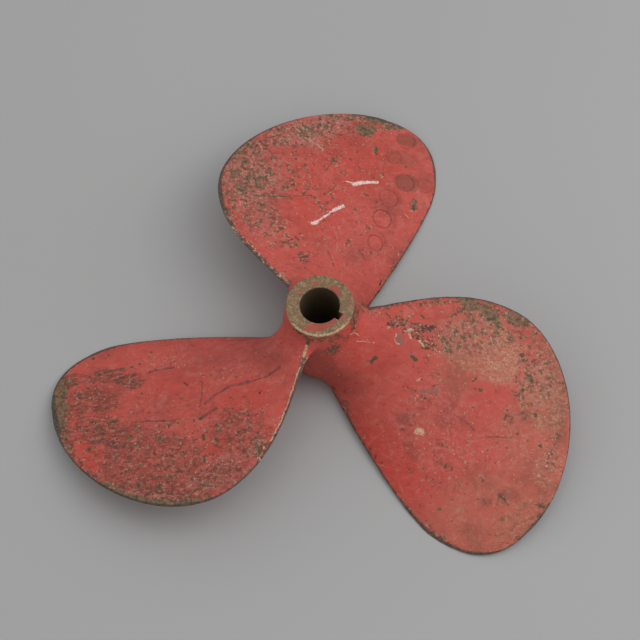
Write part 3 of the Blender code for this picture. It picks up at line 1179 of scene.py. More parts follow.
class Board:
    """A material's node tree."""

    noise_steps = (173.0, 61.0, 97.0)
    dot_steps = (41.0, 83.0, 29.0)

    def __init__(self, tree: bpy.types.NodeTree) -> None:
        """Start from an empty tree."""
        self.tree = tree
        tree.nodes.clear()

    def node(self, kind: str, settings: dict[str, object] | None = None,
             sockets: dict[str | int, object] | None = None, output: str | int = 0) -> Wire:
        """Add a node.

        Args:
            kind: The node's type.
            settings: Values of its own properties, which are set first.
            sockets: Numbers, colours or wires for its sockets, by name or place.
            output: The socket to return, by name or place.

        Returns:
            The chosen output.
        """
        made = self.tree.nodes.new(kind)
        for name, value in (settings or {}).items():
            setattr(made, name, value)
        for name, value in (sockets or {}).items():
            if isinstance(value, Wire):
                self.tree.links.new(value.socket, made.inputs[name])
            else:
                made.inputs[name].default_value = value
        return Wire(self, made.outputs[output] if made.outputs else None)

    def others(self, wire: Wire, output: str | int) -> Wire:
        """Return another output of a wire's node."""
        return Wire(self, wire.socket.node.outputs[output])

    def sum(self, operation: str, first: Wire | float, second: Wire | float = 0.0) -> Wire:
        """Add a Math node of two values."""
        return self.node("ShaderNodeMath", {"operation": operation}, {0: first, 1: second})

    def vector(self, operation: str, first: object, second: object = (0.0, 0.0, 0.0),
               output: str = "Vector") -> Wire:
        """Add a Vector Math node of two vectors."""
        return self.node("ShaderNodeVectorMath", {"operation": operation}, {0: first, 1: second},
                         output)

    def scale(self, vector: object, size: Wire | float) -> Wire:
        """Make a vector longer or shorter."""
        return self.node("ShaderNodeVectorMath", {"operation": "SCALE"}, {0: vector, "Scale": size})

    def blend(self, under: object, over: object, share: Wire | float) -> Wire:
        """Lay one colour over another.

        Args:
            under: The colour below.
            over: The colour on top.
            share: How much of the top one shows, 0 to 1.

        Returns:
            The mixed colour.
        """
        return self.node("ShaderNodeMix", {"data_type": "RGBA"}, {0: share, 6: under, 7: over}, 2)

    def painted(self, name: str) -> Wire:
        """Read a value that is painted on the mesh's points."""
        return self.node("ShaderNodeAttribute", {"attribute_name": name}, output="Fac")

    def noise(self, point: Wire, size: float, detail: float = 2.0, rough: float = 0.5,
              seed: float = 0.0, warp: float = 0.0) -> Wire:
        """Add cloudy noise.

        Args:
            point: The place to read it at, in millimetres.
            size: The size of its largest forms, in millimetres.
            detail: How many finer layers it has.
            rough: How strong they are.
            seed: A number that changes the pattern.
            warp: How far it is swirled.

        Returns:
            The noise, about 0.5.
        """
        moved = self.vector("ADD", point, tuple(seed * step for step in self.noise_steps))
        return self.node("ShaderNodeTexNoise", {"noise_dimensions": "3D"},
                         {"Vector": moved, "Scale": 1.0 / size, "Detail": detail,
                          "Roughness": rough, "Distortion": warp})

    def dots(self, point: Wire, size: float, radius: float, share: Wire | float,
             seed: float = 0.0) -> Wire:
        """Scatter round dots.

        Args:
            point: The place, in millimetres.
            size: The mean distance between cells, in millimetres.
            radius: A dot's radius, in millimetres.
            share: The share of the cells that hold one, 0 to 1.
            seed: A number that changes the pattern.

        Returns:
            1 inside a dot and 0 outside.
        """
        moved = self.vector("ADD", point, tuple(seed * step for step in self.dot_steps))
        distance = self.node("ShaderNodeTexVoronoi", {"voronoi_dimensions": "3D"},
                             {"Vector": moved, "Scale": 1.0 / size}, "Distance")
        chance = self.node("ShaderNodeSeparateColor", None, {0: self.others(distance, "Color")}, 0)
        chosen = (chance + share).rise(0.995, 1.01)
        return chosen * distance.rise(radius / size, 0.6 * radius / size)


# The casting
@dataclass
class Casting:
    """The one-piece propeller: its mesh, its marks and its place in the frame."""

    view: PhotoView
    blade: Blade = field(default_factory=Blade)
    hub: Hub = field(default_factory=Hub)
    seam_inner: tuple[float, float] = (33.5 * MM, 34.5 * MM)
    seam_outer: tuple[float, float] = (50.0 * MM, 40.0 * MM)
    seam_top: tuple[float, float] = (-3.0 * MM, -8.0 * MM)
    seam_bottom: tuple[float, float] = (0.5 * MM, 4.0 * MM)
    seam_smoothing: int = 12
    seam_factor: float = 0.5
    waviness: float = 0.22 * MM
    wave_size: float = 38.0 * MM
    pitting: float = 0.05 * MM
    pit_size: float = 5.0 * MM
    cast_from: tuple[float, float] = (36.0 * MM, 44.0 * MM)
    cast_inset: tuple[float, float] = (1.0 * MM, 7.0 * MM)
    zone_grain: float = 16.0 * MM
    zone_drift: float = 4.0
    merge: float = 0.03 * MM
    crease: float = math.radians(38.0)
    proudest: float = 0.25 * MM
    wall_radius: float = 40.0 * MM
    wall_shade: tuple[float, float] = (-25.0 * MM, -5.0 * MM)
    skin: float = 0.9 * MM
    edge_radius: float = 44.0 * MM
    far_from_edge: float = 30.0
    face_margin: float = 1.0 * MM
    face_depth: float = 0.3 * MM
    face_bevel: tuple[float, float] = (-1.3 * MM, -0.2 * MM)
    bore_mouth: tuple[float, float] = (0.2 * MM, -0.8 * MM)
    lip_height: tuple[float, float] = (-1.7 * MM, -0.6 * MM)
    lip_reach: tuple[float, float] = (-2.0 * MM, -1.2 * MM)
    lip_side: tuple[float, float] = (316.0, 326.0)

    def build(self, box: list[list[float]]) -> bpy.types.Object:
        """Build the casting's mesh.

        Args:
            box: The lowest and highest corners of the solids, which it stays inside.

        Returns:
            The casting.
        """
        casting = self.hub.build()
        for index in range(self.blade.form.count):
            combine(casting, self.blade.build(index), "UNION")
        combine(casting, self.hub.facing_cutter(), "DIFFERENCE")
        combine(casting, self.hub.key_cutter(), "DIFFERENCE")
        activate(casting)
        bpy.ops.object.mode_set(mode="EDIT")
        bpy.ops.mesh.select_all(action="SELECT")
        bpy.ops.mesh.remove_doubles(threshold=self.merge)
        bpy.ops.mesh.normals_make_consistent(inside=False)
        bpy.ops.object.mode_set(mode="OBJECT")
        self._smooth_seams(casting)
        self._age(casting)
        move_corners(casting, np.clip(corners(casting), box[0], box[1]))
        activate(casting)
        bpy.ops.object.shade_smooth_by_angle(angle=self.crease)
        return casting

    def _smooth_seams(self, casting: bpy.types.Object) -> None:
        """Blend the blades' roots into the hub's wall.

        Args:
            casting: The mesh object.
        """
        points = corners(casting)
        radius = np.hypot(points[:, 0], points[:, 1])
        form = self.hub.form
        weight = ease(radius, *self.seam_inner) * ease(radius, *self.seam_outer)
        weight *= ease(points[:, 2] - form.top_z, *self.seam_top)
        weight *= ease(points[:, 2] - form.bottom_z, *self.seam_bottom)
        group = casting.vertex_groups.new(name="seam")
        for i in np.nonzero(weight > 0.01)[0]:
            group.add([int(i)], float(weight[i]), "REPLACE")
        smooth = casting.modifiers.new("seam_smoothing", "SMOOTH")
        smooth.factor = self.seam_factor
        smooth.iterations = self.seam_smoothing
        smooth.vertex_group = group.name
        activate(casting)
        bpy.ops.object.modifier_apply(modifier=smooth.name)

    def _age(self, casting: bpy.types.Object) -> None:
        """Give the surface its cast unevenness and its dents.

        Args:
            casting: The mesh object.
        """
        points = corners(casting)
        normals = directions(casting)
        radius = np.hypot(points[:, 0], points[:, 1])
        shift = np.zeros(len(points))
        for i, point in enumerate(points):
            spot = Vector(point)
            shift[i] = (self.waviness * noise.fractal(spot / self.wave_size, 1.0, 2.0, 2)
                        + self.pitting * noise.fractal(spot / self.pit_size, 1.0, 2.0, 2))
        inset = self.blade.form.read_back(points)[0]
        shift *= ease(radius, *self.cast_from) * ease(inset, *self.cast_inset)
        for dent in DENTS:
            centre = self.touch(casting, dent.at)
            if centre is None:
                LOG.warning("dent at %s misses the casting", dent.at)
                continue
            away = np.linalg.norm(points - np.array(centre), axis=1)
            shift += dent.shift(away) * (normals[:, 2] > 0.0)
        pixels = self.view.pixels(points)
        LOG.info("the casting spans pixels %s to %s", pixels.min(axis=0).round(1),
                 pixels.max(axis=0).round(1))
        shift = np.minimum(shift, self.proudest)
        move_corners(casting, points + normals * shift[:, None])

    def touch(self, casting: bpy.types.Object, pixel: Pixel) -> Vector | None:
        """Return the place on the casting that the photograph shows at a pixel."""
        hit, place, _, _ = casting.ray_cast(Vector(self.view.place), self.view.ray(pixel))
        return place if hit else None

    def paint_points(self, casting: bpy.types.Object) -> None:
        """Store the zones, the edges and the sides on the mesh's points.

        Args:
            casting: The mesh object.
        """
        points = corners(casting)
        pixels = self.view.pixels(points)
        radius = np.hypot(points[:, 0], points[:, 1])
        inset, offset = self.blade.form.read_back(points)
        form = self.hub.form
        height = points[:, 2] - form.top_z
        face = radius < form.top_radius + self.face_margin
        ring = (height > -self.face_depth) & face
        upper = np.where(radius < self.wall_radius, ease(points[:, 2], *self.wall_shade),
                         ease(offset, -self.skin, self.skin))
        values = {layer: np.zeros(len(points)) for layer in Layer}
        ragged = pixels + self._wander(points)
        for zone in ZONES:
            there = ring if zone.place is Place.RING else ~ring & (upper > 0.02)
            weight = zone.weight(pixels if zone.place is Place.RING else ragged) * there
            values[zone.layer] = np.maximum(values[zone.layer], weight)
        for layer, value in values.items():
            self._store(casting, layer.value, value)
        self._store(casting, "upper", upper)
        self._store(casting, "ring", ease(height, *self.face_bevel) * face)
        inside = ease(radius, form.key_radius + self.face_margin,
                      form.bore_radius + self.face_depth)
        self._store(casting, "bore", inside * ease(height, *self.bore_mouth))
        close = np.clip(inset / MM, -1.0, self.far_from_edge)
        self._store(casting, "edge", np.where(radius > self.edge_radius, close, self.far_from_edge))
        lip = ease(height, *self.lip_height) * ease(radius - form.top_radius, *self.lip_reach)
        self._store(casting, "lip", lip * face * ease(pixels[:, 1], *self.lip_side))

    def _wander(self, points: np.ndarray) -> np.ndarray:
        """Make the zones' rims uneven.

        Args:
            points: Places in metres, one row each.

        Returns:
            A drift in pixels for each.
        """
        other = Vector((9.0, 5.0, 3.0))
        drift = np.empty((len(points), 2))
        for i, point in enumerate(points):
            spot = Vector(point) / self.zone_grain
            drift[i] = (noise.fractal(spot, 1.0, 2.0, 3), noise.fractal(spot + other, 1.0, 2.0, 3))
        return self.zone_drift * drift

    @staticmethod
    def _store(casting: bpy.types.Object, name: str, values: np.ndarray) -> None:
        """Store one number for each point of a mesh."""
        layer = casting.data.attributes.new(name, "FLOAT", "POINT")
        layer.data.foreach_set("value", values.astype(np.float32))


# The finish
@dataclass(frozen=True)
class MarkLook:
    """How the marks of one tone look.

    full is how near the middle line a mark covers all, and broken how much of it has flaked off.
    """

    tone: Tone
    tint: Colour
    second: Colour
    strength: float
    ragged: float
    full: float = 0.34
    broken: float = 0.0


@dataclass(frozen=True)
class WornPaint:
    """Old matt red paint on cast bronze, worn, chipped and stained, with some painted shade."""

    red: Colour = display(189, 79, 69)
    red_dull: Colour = display(164, 71, 61)
    red_fresh: Colour = display(186, 66, 54)
    red_deep: Colour = display(112, 47, 40)
    pink: Colour = display(192, 112, 100)
    olive: Colour = display(116, 100, 74)
    olive_dark: Colour = display(70, 64, 46)
    mauve: Colour = display(158, 96, 90)
    grey: Colour = display(134, 96, 88)
    khaki: Colour = display(150, 118, 88)
    tan: Colour = display(178, 134, 106)
    speck: Colour = display(200, 156, 130)
    cream: Colour = display(206, 184, 150)
    brown: Colour = display(106, 60, 46)
    spot: Colour = display(104, 66, 48)
    dirt: Colour = display(84, 48, 36)
    pit: Colour = display(50, 34, 26)
    maroon: Colour = display(92, 46, 32)
    crust: Colour = display(146, 84, 70)
    scratch: Colour = display(88, 56, 58)
    white: Colour = display(232, 214, 208)
    rim: Colour = display(86, 78, 66)
    rim_dark: Colour = display(54, 44, 42)
    bore: Colour = display(76, 62, 42)
    roughness: float = 0.60
    specular: float = 0.35
    bare_metallic: float = 0.25
    bump_distance: float = 0.001
    brush_draw: float = 0.70
    rim_and_shade_cover: float = 0.88
    shake_size: float = 0.30
    shake_reach: float = 4.2
    dent_wall: float = 0.80
    dent_bump: float = 3.4

    def build(self, casting: Casting, obj: bpy.types.Object) -> bpy.types.Material:
        """Make the finish for the casting.

        Args:
            casting: The casting, which says where marks lie.
            obj: Its mesh object.

        Returns:
            The material.
        """
        material = bpy.data.materials.new("worn_red_paint_with_painted_shade")
        material.use_nodes = True
        board = Board(material.node_tree)
        place = board.node("ShaderNodeTexCoord", output="Object")
        point = board.vector("MULTIPLY", place, (TO_MM, TO_MM, TO_MM))
        brushed = self._brushed(board, point, casting)
        upper = board.painted("upper")
        edge = board.painted("edge")
        general = board.noise(point, 45.0, 2.0, 0.6, 11.0)
        below = (1.0 - upper) * general.rise(0.38, 0.7)
        colour = self._paint(board, point, brushed, general)
        colour = self._stains(board, point, brushed, colour)
        colour = self._bloom(board, point, colour, below)
        colour, gone = self._wear(board, point, colour, below, edge, general)
        colour = self._crust(board, point, colour)
        mottle = board.noise(point, 4.0, 4.0, 0.7, 31.0)
        fine = board.noise(point, 2.0, 3.0, 0.7, 32.0)
        # Dark line along the blades' edges: worn, grimy edge metal, partly painted shade where the
        # rounded edge turns away from the light; the rim zones widen it.
        line = (edge + 6.0 * (mottle - 0.5) - 3.0 * board.painted("rim")).rise(2.4, 0.9)
        rim = board.blend(self.rim, self.rim_dark, fine.rise(0.42, 0.62))
        colour = board.blend(colour, rim, self.rim_and_shade_cover * line)
        colour = self._marks(board, point, colour, upper, casting, obj)
        colour, bare = self._metal(board, point, colour, edge, mottle, fine)
        bare = bare.most(0.5 * line)
        grain = board.noise(point, 2.4, 2.0, 0.6, 41.0)
        height = (0.12 * grain + 0.12 * board.noise(point, 9.0, 2.0, 0.5, 42.0) - 0.08 * gone
                  - self._dishes(board, point, casting, obj))
        normal = board.node("ShaderNodeBump", None,
                            {"Strength": 1.0, "Distance": self.bump_distance, "Height": height})
        rough = self.roughness + 0.16 * grain - 0.12 * bare
        shader = board.node("ShaderNodeBsdfPrincipled", None,
                            {"Base Color": colour, "Roughness": rough,
                             "Metallic": self.bare_metallic * bare,
                             "Specular IOR Level": self.specular, "Normal": normal})
        board.node("ShaderNodeOutputMaterial", None, {"Surface": shader})
        return material

    def _brushed(self, board: Board, point: Wire, casting: Casting) -> Wire:
        """Draw patterns out along the brush strokes, which run across the photograph.

        Args:
            board: The material's nodes.
            point: The place on the casting, in millimetres.
            casting: The casting, whose view gives the strokes' direction.

        Returns:
            The place to read drawn-out patterns at.
        """
        stroke = tuple(casting.view.axes()[0])
        along = board.vector("DOT_PRODUCT", point, stroke, "Value")
        return board.vector("SUBTRACT", point, board.scale(stroke, self.brush_draw * along))

    def _paint(self, board: Board, point: Wire, brushed: Wire, general: Wire) -> Wire:
        """Mix the paint's own colour, which has faded and soiled unevenly, and lay painted shade
        over it where the shade zones lie.

        Args:
            board: The material's nodes.
            point: The place on the casting.
            brushed: The same, drawn out along the brush strokes.
            general: Broad clouds.

        Returns:
            The colour.
        """
        colour = board.blend(self.red_dull, self.red, general.rise(0.30, 0.56))
        colour = board.blend(colour, self.red_fresh, 0.9 * board.painted("fresh"))
        swirl = board.noise(point, 16.0, 4.0, 0.6, 2.0, 1.2)
        colour = board.blend(colour, self.pink, 0.42 * swirl.rise(0.50, 0.72))
        colour = board.blend(colour, self.red_deep, 0.28 * swirl.rise(0.45, 0.28))
        strokes = board.noise(brushed, 4.6, 4.0, 0.62, 7.0, 0.4)
        colour = board.blend(colour, self.pink, 0.26 * strokes.rise(0.54, 0.70))
        colour = board.blend(colour, self.red_deep, 0.24 * strokes.rise(0.46, 0.32))
        mottle = board.noise(point, 5.0, 4.0, 0.66, 3.0)
        colour = board.blend(colour, self.red_deep, 0.24 * mottle.rise(0.54, 0.74))
        # Painted shade: darken towards deep red where the shade zones lie.
        return board.blend(colour, self.red_deep, 0.7 * board.painted("shade"))

    def _stains(self, board: Board, point: Wire, brushed: Wire, colour: Wire) -> Wire:
        """Lay brown stains over the paint: solid where strong, streaky where weak.

        Args:
            board: The material's nodes.
            point: The place on the casting.
            brushed: The same, drawn out along the brush strokes.
            colour: The colour below.

        Returns:
            The colour.
        """
        stain = board.painted("stain")
        streak = board.noise(brushed, 3.0, 3.0, 0.7, 12.0)
        soft = board.noise(point, 8.0, 2.0, 0.6, 17.0)
        stained = (stain + 1.6 * (streak - 0.5) + 1.2 * (soft - 0.5)).rise(0.26, 0.98)
        colour = board.blend(colour, self.brown, 0.72 * stained)
        colour = board.blend(colour, self.brown, 0.10 * stain)
        dirt = (0.20 * stain + board.noise(brushed, 2.4, 3.0, 0.7, 19.0)).rise(0.63, 0.73)
        colour = board.blend(colour, self.dirt, 0.6 * dirt)
        flecks = (0.16 * stain + board.noise(brushed, 2.2, 3.0, 0.7, 24.0)).rise(0.66, 0.74)
        return board.blend(colour, self.pink, 0.7 * flecks)

    def _bloom(self, board: Board, point: Wire, colour: Wire, below: Wire) -> Wire:
        """Lay pinkish, tan and cream speckle over the paint.

        Args:
            board: The material's nodes.
            point: The place on the casting.
            colour: The colour below.
            below: How worn the under side is.

        Returns:
            The colour.
        """
        pale = board.painted("pale").most(0.35 * below)
        veined = board.painted("vein")
        frost = board.noise(point, 5.0, 4.0, 0.7, 14.0, 0.6)
        share = (0.25 + 0.35 * pale) * (frost + 0.16 * pale).rise(0.58, 0.74)
        colour = board.blend(colour, self.pink, share)
        line = abs(board.noise(point, 5.2, 3.0, 0.6, 13.0, 0.3) - 0.5)
        colour = board.blend(colour, self.khaki, 0.50 * veined.least(0.6))
        net = line.rise(0.060, 0.020) * (veined + 1.4 * (frost - 0.5)).rise(0.30, 0.90)
        colour = board.blend(colour, self.tan, 0.80 * net)
        speck = board.noise(point, 2.8, 3.0, 0.7, 18.0)
        cream = (speck + 0.13 * pale.most(0.7 * veined)).rise(0.69, 0.75)
        return board.blend(colour, self.speck, 0.70 * cream)

    def _wear(self, board: Board, point: Wire, colour: Wire, below: Wire, edge: Wire,
              general: Wire) -> tuple[Wire, Wire]:
        """Wear the paint through to olive metal, and pit it.

        Args:
            board: The material's nodes.
            point: The place on the casting.
            colour: The colour below.
            below: How worn the under side is.
            edge: The length in from the blade's edge, in millimetres.
            general: Broad clouds.

        Returns:
            The colour, and how much of the paint is gone.
        """
        worn = board.painted("worn").most(0.6 * below).most(0.5 * edge.rise(9.0, 1.5))
        pale = board.painted("pale")
        patch = board.noise(point, 6.5, 4.0, 0.68, 15.0, 0.2)
        cloud = board.noise(point, 8.5, 3.0, 0.6, 23.0)
        tone = board.noise(point, 3.4, 3.0, 0.7, 16.0)
        share = 0.60 * (pale * worn.rise(0.1, 0.6)) * (cloud + 0.08 * worn).rise(0.54, 0.62)
        colour = board.blend(colour, self.mauve, share)
        share = 0.48 * worn.rise(0.1, 0.6) * (0.05 * worn - cloud).rise(-0.43, -0.35)
        colour = board.blend(colour, self.brown, share)
        level = patch + 0.19 * worn + 0.10 * (general - 0.5)
        thin = level.rise(0.60, 0.69)
        gone = level.rise(0.675, 0.725)
        metal = board.blend(self.olive_dark, self.olive, tone.rise(0.38, 0.56))
        metal = board.blend(metal, self.khaki, 0.5 * tone.rise(0.57, 0.68))
        left = board.noise(point, 2.4, 2.0, 0.6, 20.0).rise(0.56, 0.64)
        metal = board.blend(metal, self.red_dull, 0.6 * left)
        colour = board.blend(colour, self.brown, 0.35 * thin)
        torn = thin * (1.0 - gone)
        colour = board.blend(colour, self.speck, 0.75 * torn * tone.rise(0.53, 0.58))
        colour = board.blend(colour, self.pit, 0.65 * torn * tone.rise(0.46, 0.41))
        colour = board.blend(colour, metal, 0.90 * gone)
        pits = board.dots(point, 6.0, 0.8, 0.03 + 0.14 * worn, 3.0)
        return board.blend(colour, self.pit, 0.85 * pits), gone

    def _crust(self, board: Board, point: Wire, colour: Wire) -> Wire:
        """Break the paint up where it has blistered: maroon hollows and cream scabs.

        Args:
            board: The material's nodes.
            point: The place on the casting.
            colour: The colour below.

        Returns:
            The colour.
        """
        rough = board.noise(point, 3.2, 3.0, 0.75, 51.0)
        other = board.noise(point, 2.6, 2.0, 0.7, 52.0)
        broken = (board.painted("crust") + 2.4 * (rough - 0.5)).rise(0.42, 0.62)
        scab = board.blend(self.maroon, self.crust, other.rise(0.44, 0.54))
        scab = board.blend(scab, self.pit, 0.8 * other.rise(0.42, 0.32))
        scab = board.blend(scab, self.cream, 0.85 * (rough + 0.6 * (other - 0.5)).rise(0.60, 0.68))
        return board.blend(colour, scab, 0.88 * broken)

    def _marks(self, board: Board, point: Wire, colour: Wire, upper: Wire, casting: Casting,
               obj: bpy.types.Object) -> Wire:
        """Lay the named spots and strokes over the paint.

        Args:
            board: The material's nodes.
            point: The place on the casting.
            colour: The colour below.
            upper: 1 on the upper side and 0 on the under side.
            casting: The casting, which says where marks lie.
            obj: Its mesh object.

        Returns:
            The colour.
        """
        shake = board.node("ShaderNodeTexNoise", {"noise_dimensions": "3D"},
                           {"Vector": point, "Scale": self.shake_size, "Detail": 3.0,
                            "Roughness": 0.6}, "Color")
        shaken = board.scale(board.vector("SUBTRACT", shake, (0.5, 0.5, 0.5)), self.shake_reach)
        there = board.vector("ADD", point, shaken)
        fine = board.noise(point, 2.6, 3.0, 0.7, 21.0)
        gaps = board.noise(point, 6.0, 3.0, 0.65, 22.0)
        for look in self._looks():
            near = self._near(board, there, look.tone, casting, obj)
            ragged = near + look.ragged * (fine - 0.5)
            mask = ragged.rise(0.04, look.full) * near.rise(0.0, 0.08) * upper
            if look.broken:
                mask = mask * (1.0 - look.broken * gaps.rise(0.52, 0.44))
            tint = board.blend(look.tint, look.second, fine.rise(0.50, 0.64))
            colour = board.blend(colour, tint, look.strength * mask)
        return colour

    def _looks(self) -> tuple[MarkLook, ...]:
        """Return each tone's look, in the order in which they are laid."""
        # Smudges are soft brown stains, but those in the dents are painted shade.
        return (MarkLook(Tone.SHADOW, self.brown, self.spot, 0.32, 0.4, full=0.7),
                MarkLook(Tone.SPOT, self.spot, self.brown, 0.52, 0.5, full=0.40),
                MarkLook(Tone.SCRATCH, self.scratch, self.maroon, 0.72, 1.0, full=0.5, broken=0.5),
                MarkLook(Tone.GREY, self.grey, self.mauve, 0.75, 1.2, full=0.5),
                MarkLook(Tone.OLIVE, self.olive_dark, self.olive, 0.88, 0.9),
                MarkLook(Tone.MAROON, self.maroon, self.pit, 0.8, 2.2),
                MarkLook(Tone.CREAM, self.cream, self.pink, 0.8, 2.2, full=0.45, broken=0.4),
                MarkLook(Tone.DARK, self.pit, self.brown, 0.85, 1.2),
                MarkLook(Tone.WHITE, self.white, self.pink, 0.90, 1.4, full=0.6))

    def _near(self, board: Board, there: Wire, tone: Tone, casting: Casting,
              obj: bpy.types.Object) -> Wire:
        """Say how close a place is to the nearest mark of a tone.

        Each sum takes the older value first and the marks follow one another, so few values are
        alive at a time: a shader holds only so many.

        Args:
            board: The material's nodes.
            there: The place on the casting, in millimetres.
            tone: The marks' tone.
            casting: The casting, which says where marks lie.
            obj: Its mesh object.

        Returns:
            1 on a mark's middle line, 0 at its rim and less beyond.
        """
        marks = [mark for mark in MARKS if mark.tone is tone]
        near = None
        for radius in sorted({mark.radius for mark in marks}):
            away = None
            for mark in (mark for mark in marks if mark.radius == radius):
                places = [casting.touch(obj, pixel) for pixel in mark.at]
                if None in places:
                    LOG.warning("mark at %s misses the casting", mark.at[0])
                    continue
                spots = [place * TO_MM for place in places]
                for start, end in zip(spots, spots[1:] or spots):
                    found = self._away(board, there, start, end)
                    away = away.least(found) if away else found
            if away is None:
                continue
            close = board.node("ShaderNodeMath", {"operation": "MULTIPLY_ADD"},
                               {0: away, 1: -1.0 / radius, 2: 1.0})
            near = near.most(close) if near else close
        return near

    def _away(self, board: Board, there: Wire, start: Vector, end: Vector) -> Wire:
        """Measure the distance from a straight line between two places, or from one place.

        Args:
            board: The material's nodes.
            there: The place on the casting, in millimetres.
            start: One end of the line.
            end: Its other end, the same where it is a single place.

        Returns:
            The distance in millimetres.
        """
        reach = end - start
        if reach.length == 0.0:
            return board.vector("DISTANCE", there, tuple(start), "Value")
        step = reach / reach.length_squared
        low = step.dot(start)
        share = board.vector("DOT_PRODUCT", there, tuple(step), "Value")
        held = board.node("ShaderNodeClamp", None, {"Value": share, "Min": low, "Max": low + 1.0})
        foot = board.vector("ADD", board.scale(tuple(reach), held), tuple(start - low * reach))
        return board.vector("DISTANCE", there, foot, "Value")

    def _dishes(self, board: Board, point: Wire, casting: Casting, obj: bpy.types.Object) -> Wire:
        """Sharpen the dents' rims.

        Args:
            board: The material's nodes.
            point: The place on the casting, in millimetres.
            casting: The casting, which says where dents lie.
            obj: Its mesh object.

        Returns:
            How deep the dents' floors lie below the paint, in millimetres.
        """
        depth: Wire | float = 0.0
        for dent in DENTS:
            place = casting.touch(obj, dent.at)
            if place is None:
                continue
            away = board.vector("DISTANCE", point, tuple(place * TO_MM), "Value")
            radius = dent.radius * TO_MM
            floor = away.rise(radius, self.dent_wall * radius)
            depth = (floor * (self.dent_bump * dent.depth * TO_MM)).most(depth)
        return depth

    def _metal(self, board: Board, point: Wire, colour: Wire, edge: Wire, mottle: Wire,
               fine: Wire) -> tuple[Wire, Wire]:
        """Bare the metal on the hub's upper face, in the bore and along the blades' edges.

        Args:
            board: The material's nodes.
            point: The place on the casting.
            colour: The colour below.
            edge: The length in from the blade's edge, in millimetres.
            mottle: Clouds some millimetres wide.
            fine: Finer clouds.

        Returns:
            The colour, and how bare the metal is.
        """
        small = board.noise(point, 2.8, 3.0, 0.7, 34.0)
        bronze = board.blend(self.olive, self.khaki, mottle.rise(0.44, 0.60))
        bronze = board.blend(bronze, self.speck, 0.5 * fine.rise(0.56, 0.64))
        bronze = board.blend(bronze, self.brown, 0.7 * fine.rise(0.44, 0.34))
        close = board.painted("bare") * edge.rise(7.5, 2.0)
        chipped = (close + 2.2 * (fine - 0.5) + 1.8 * (mottle - 0.5)).rise(0.70, 0.84)
        chipped = chipped * close.rise(0.02, 0.2)
        chips = board.blend(self.khaki, self.speck, small.rise(0.46, 0.54))
        chips = board.blend(chips, self.cream, small.rise(0.56, 0.62))
        grime = board.noise(point, 3.0, 2.0, 0.6, 33.0).rise(0.50, 0.58)
        chips = board.blend(chips, self.rim_dark, 0.85 * grime)
        colour = board.blend(colour, chips, chipped)
        paint_left = (board.painted("fresh") + 2.4 * (mottle - 0.5)).rise(0.34, 0.62)
        face = board.painted("ring")
        ring = face * (1.0 - 0.85 * paint_left)
        colour = board.blend(colour, self.brown, 0.35 * face)
        colour = board.blend(colour, bronze, ring)
        colour = board.blend(colour, self.cream, 0.7 * board.painted("lip") * fine.rise(0.36, 0.52))
        colour = board.blend(colour, self.bore, board.painted("bore"))
        return colour, ring.most(chipped)


# The studio
@dataclass(frozen=True)
class Lamp:
    """A large soft disk lamp on the photograph's right, by its height in degrees."""

    name: str
    height: float
    power: float
    size: float = 1.8
    distance: float = 2.6


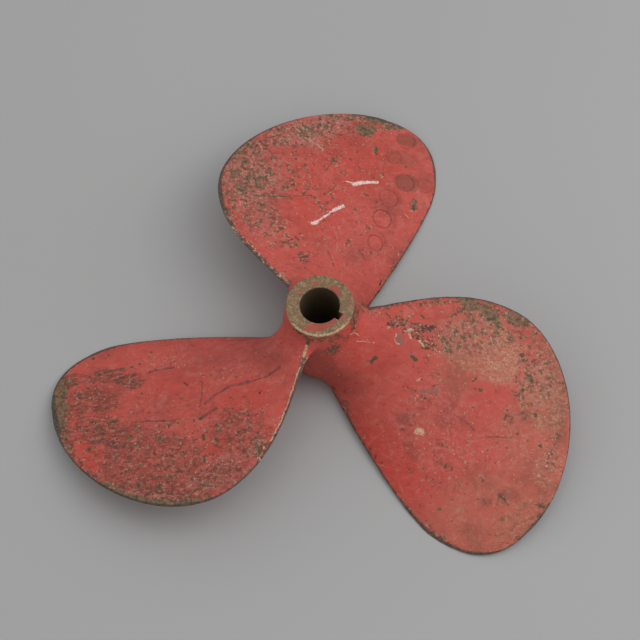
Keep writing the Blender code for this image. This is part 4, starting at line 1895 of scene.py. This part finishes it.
@dataclass(frozen=True)
class Studio:
    """A plain pale floor under soft light."""

    floor_reach: float = 30.0
    grey: Colour = display(170, 170, 170)
    grey_low: Colour = display(168, 168, 168)
    air: Colour = (1.0, 1.0, 1.0, 1.0)
    air_strength: float = 0.61
    lamps: tuple[Lamp, ...] = (Lamp("side_lamp", 30.0, 8.2), Lamp("main_lamp", 55.0, 15.9),
                               Lamp("top_lamp", 90.0, 6.3))

    def build(self, floor_z: float, view: PhotoView) -> None:
        """Add the floor, the air and the lamps.

        Args:
            floor_z: The height that the propeller rests on.
            view: The camera, whose right the light comes from.
        """
        bpy.ops.object.select_all(action="DESELECT")
        bpy.ops.mesh.primitive_plane_add(size=self.floor_reach, location=(0.0, 0.0, floor_z))
        floor = bpy.context.object
        floor.name = "studio_floor"
        bpy.ops.object.transform_apply(location=True, rotation=True, scale=True)
        floor.data.materials.append(self._floor_finish())
        floor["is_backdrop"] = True
        self._air()
        for lamp in self.lamps:
            self._hang(lamp, view)

    def _floor_finish(self) -> bpy.types.Material:
        """Make the floor's matt grey.

        Returns:
            The material.
        """
        material = bpy.data.materials.new("studio_grey")
        material.use_nodes = True
        board = Board(material.node_tree)
        place = board.node("ShaderNodeTexCoord", output="Object")
        clouds = board.noise(place, 0.9, 2.0, 0.4)
        colour = board.blend(self.grey_low, self.grey, clouds.rise(0.3, 0.7))
        shader = board.node("ShaderNodeBsdfPrincipled", None,
                            {"Base Color": colour, "Roughness": 0.9, "Specular IOR Level": 0.1})
        board.node("ShaderNodeOutputMaterial", None, {"Surface": shader})
        return material

    def _air(self) -> None:
        """Light the scene evenly from all around."""
        world = bpy.data.worlds.new("studio_air")
        world.use_nodes = True
        board = Board(world.node_tree)
        glow = board.node("ShaderNodeBackground", None,
                          {"Color": self.air, "Strength": self.air_strength})
        board.node("ShaderNodeOutputWorld", None, {"Surface": glow})
        bpy.context.scene.world = world

    def _hang(self, lamp: Lamp, view: PhotoView) -> None:
        """Hang one lamp, aimed at the propeller.

        Args:
            lamp: Its place, power and size.
            view: The camera, on whose right it hangs.
        """
        right, _, _ = view.axes()
        turn = math.atan2(right.y, right.x)
        height = math.radians(lamp.height)
        place = Vector((math.cos(turn) * math.cos(height), math.sin(turn) * math.cos(height),
                        math.sin(height))) * lamp.distance
        bpy.ops.object.light_add(type="AREA", location=place)
        made = bpy.context.object
        made.name = lamp.name
        made.rotation_euler = (-place).to_track_quat("-Z", "Y").to_euler()
        made.data.energy = lamp.power
        made.data.shape = "DISK"
        made.data.size = lamp.size
        made.visible_camera = False


def plain_box() -> list[list[float]]:
    """Return the whole object's box as plain numbers."""
    return [[float(part) for part in corner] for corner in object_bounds()]


def main() -> None:
    """Build the casting and its studio."""
    logging.basicConfig(level=logging.INFO, format="%(name)s: %(message)s")
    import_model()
    solid_box = plain_box()
    bpy.ops.object.select_all(action="DESELECT")
    view = PhotoView()
    view.build()
    casting = Casting(view)
    surface = casting.build(solid_box)
    casting.paint_points(surface)
    surface.data.materials.clear()
    surface.data.materials.append(WornPaint().build(casting, surface))
    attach(surface, "root")
    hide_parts(NODE)
    LOG.info("casting: %d faces", len(surface.data.polygons))
    Studio().build(solid_box[0][2], view)
    bpy.context.scene.view_settings.view_transform = "Standard"


if __name__ == "__main__":
    main()
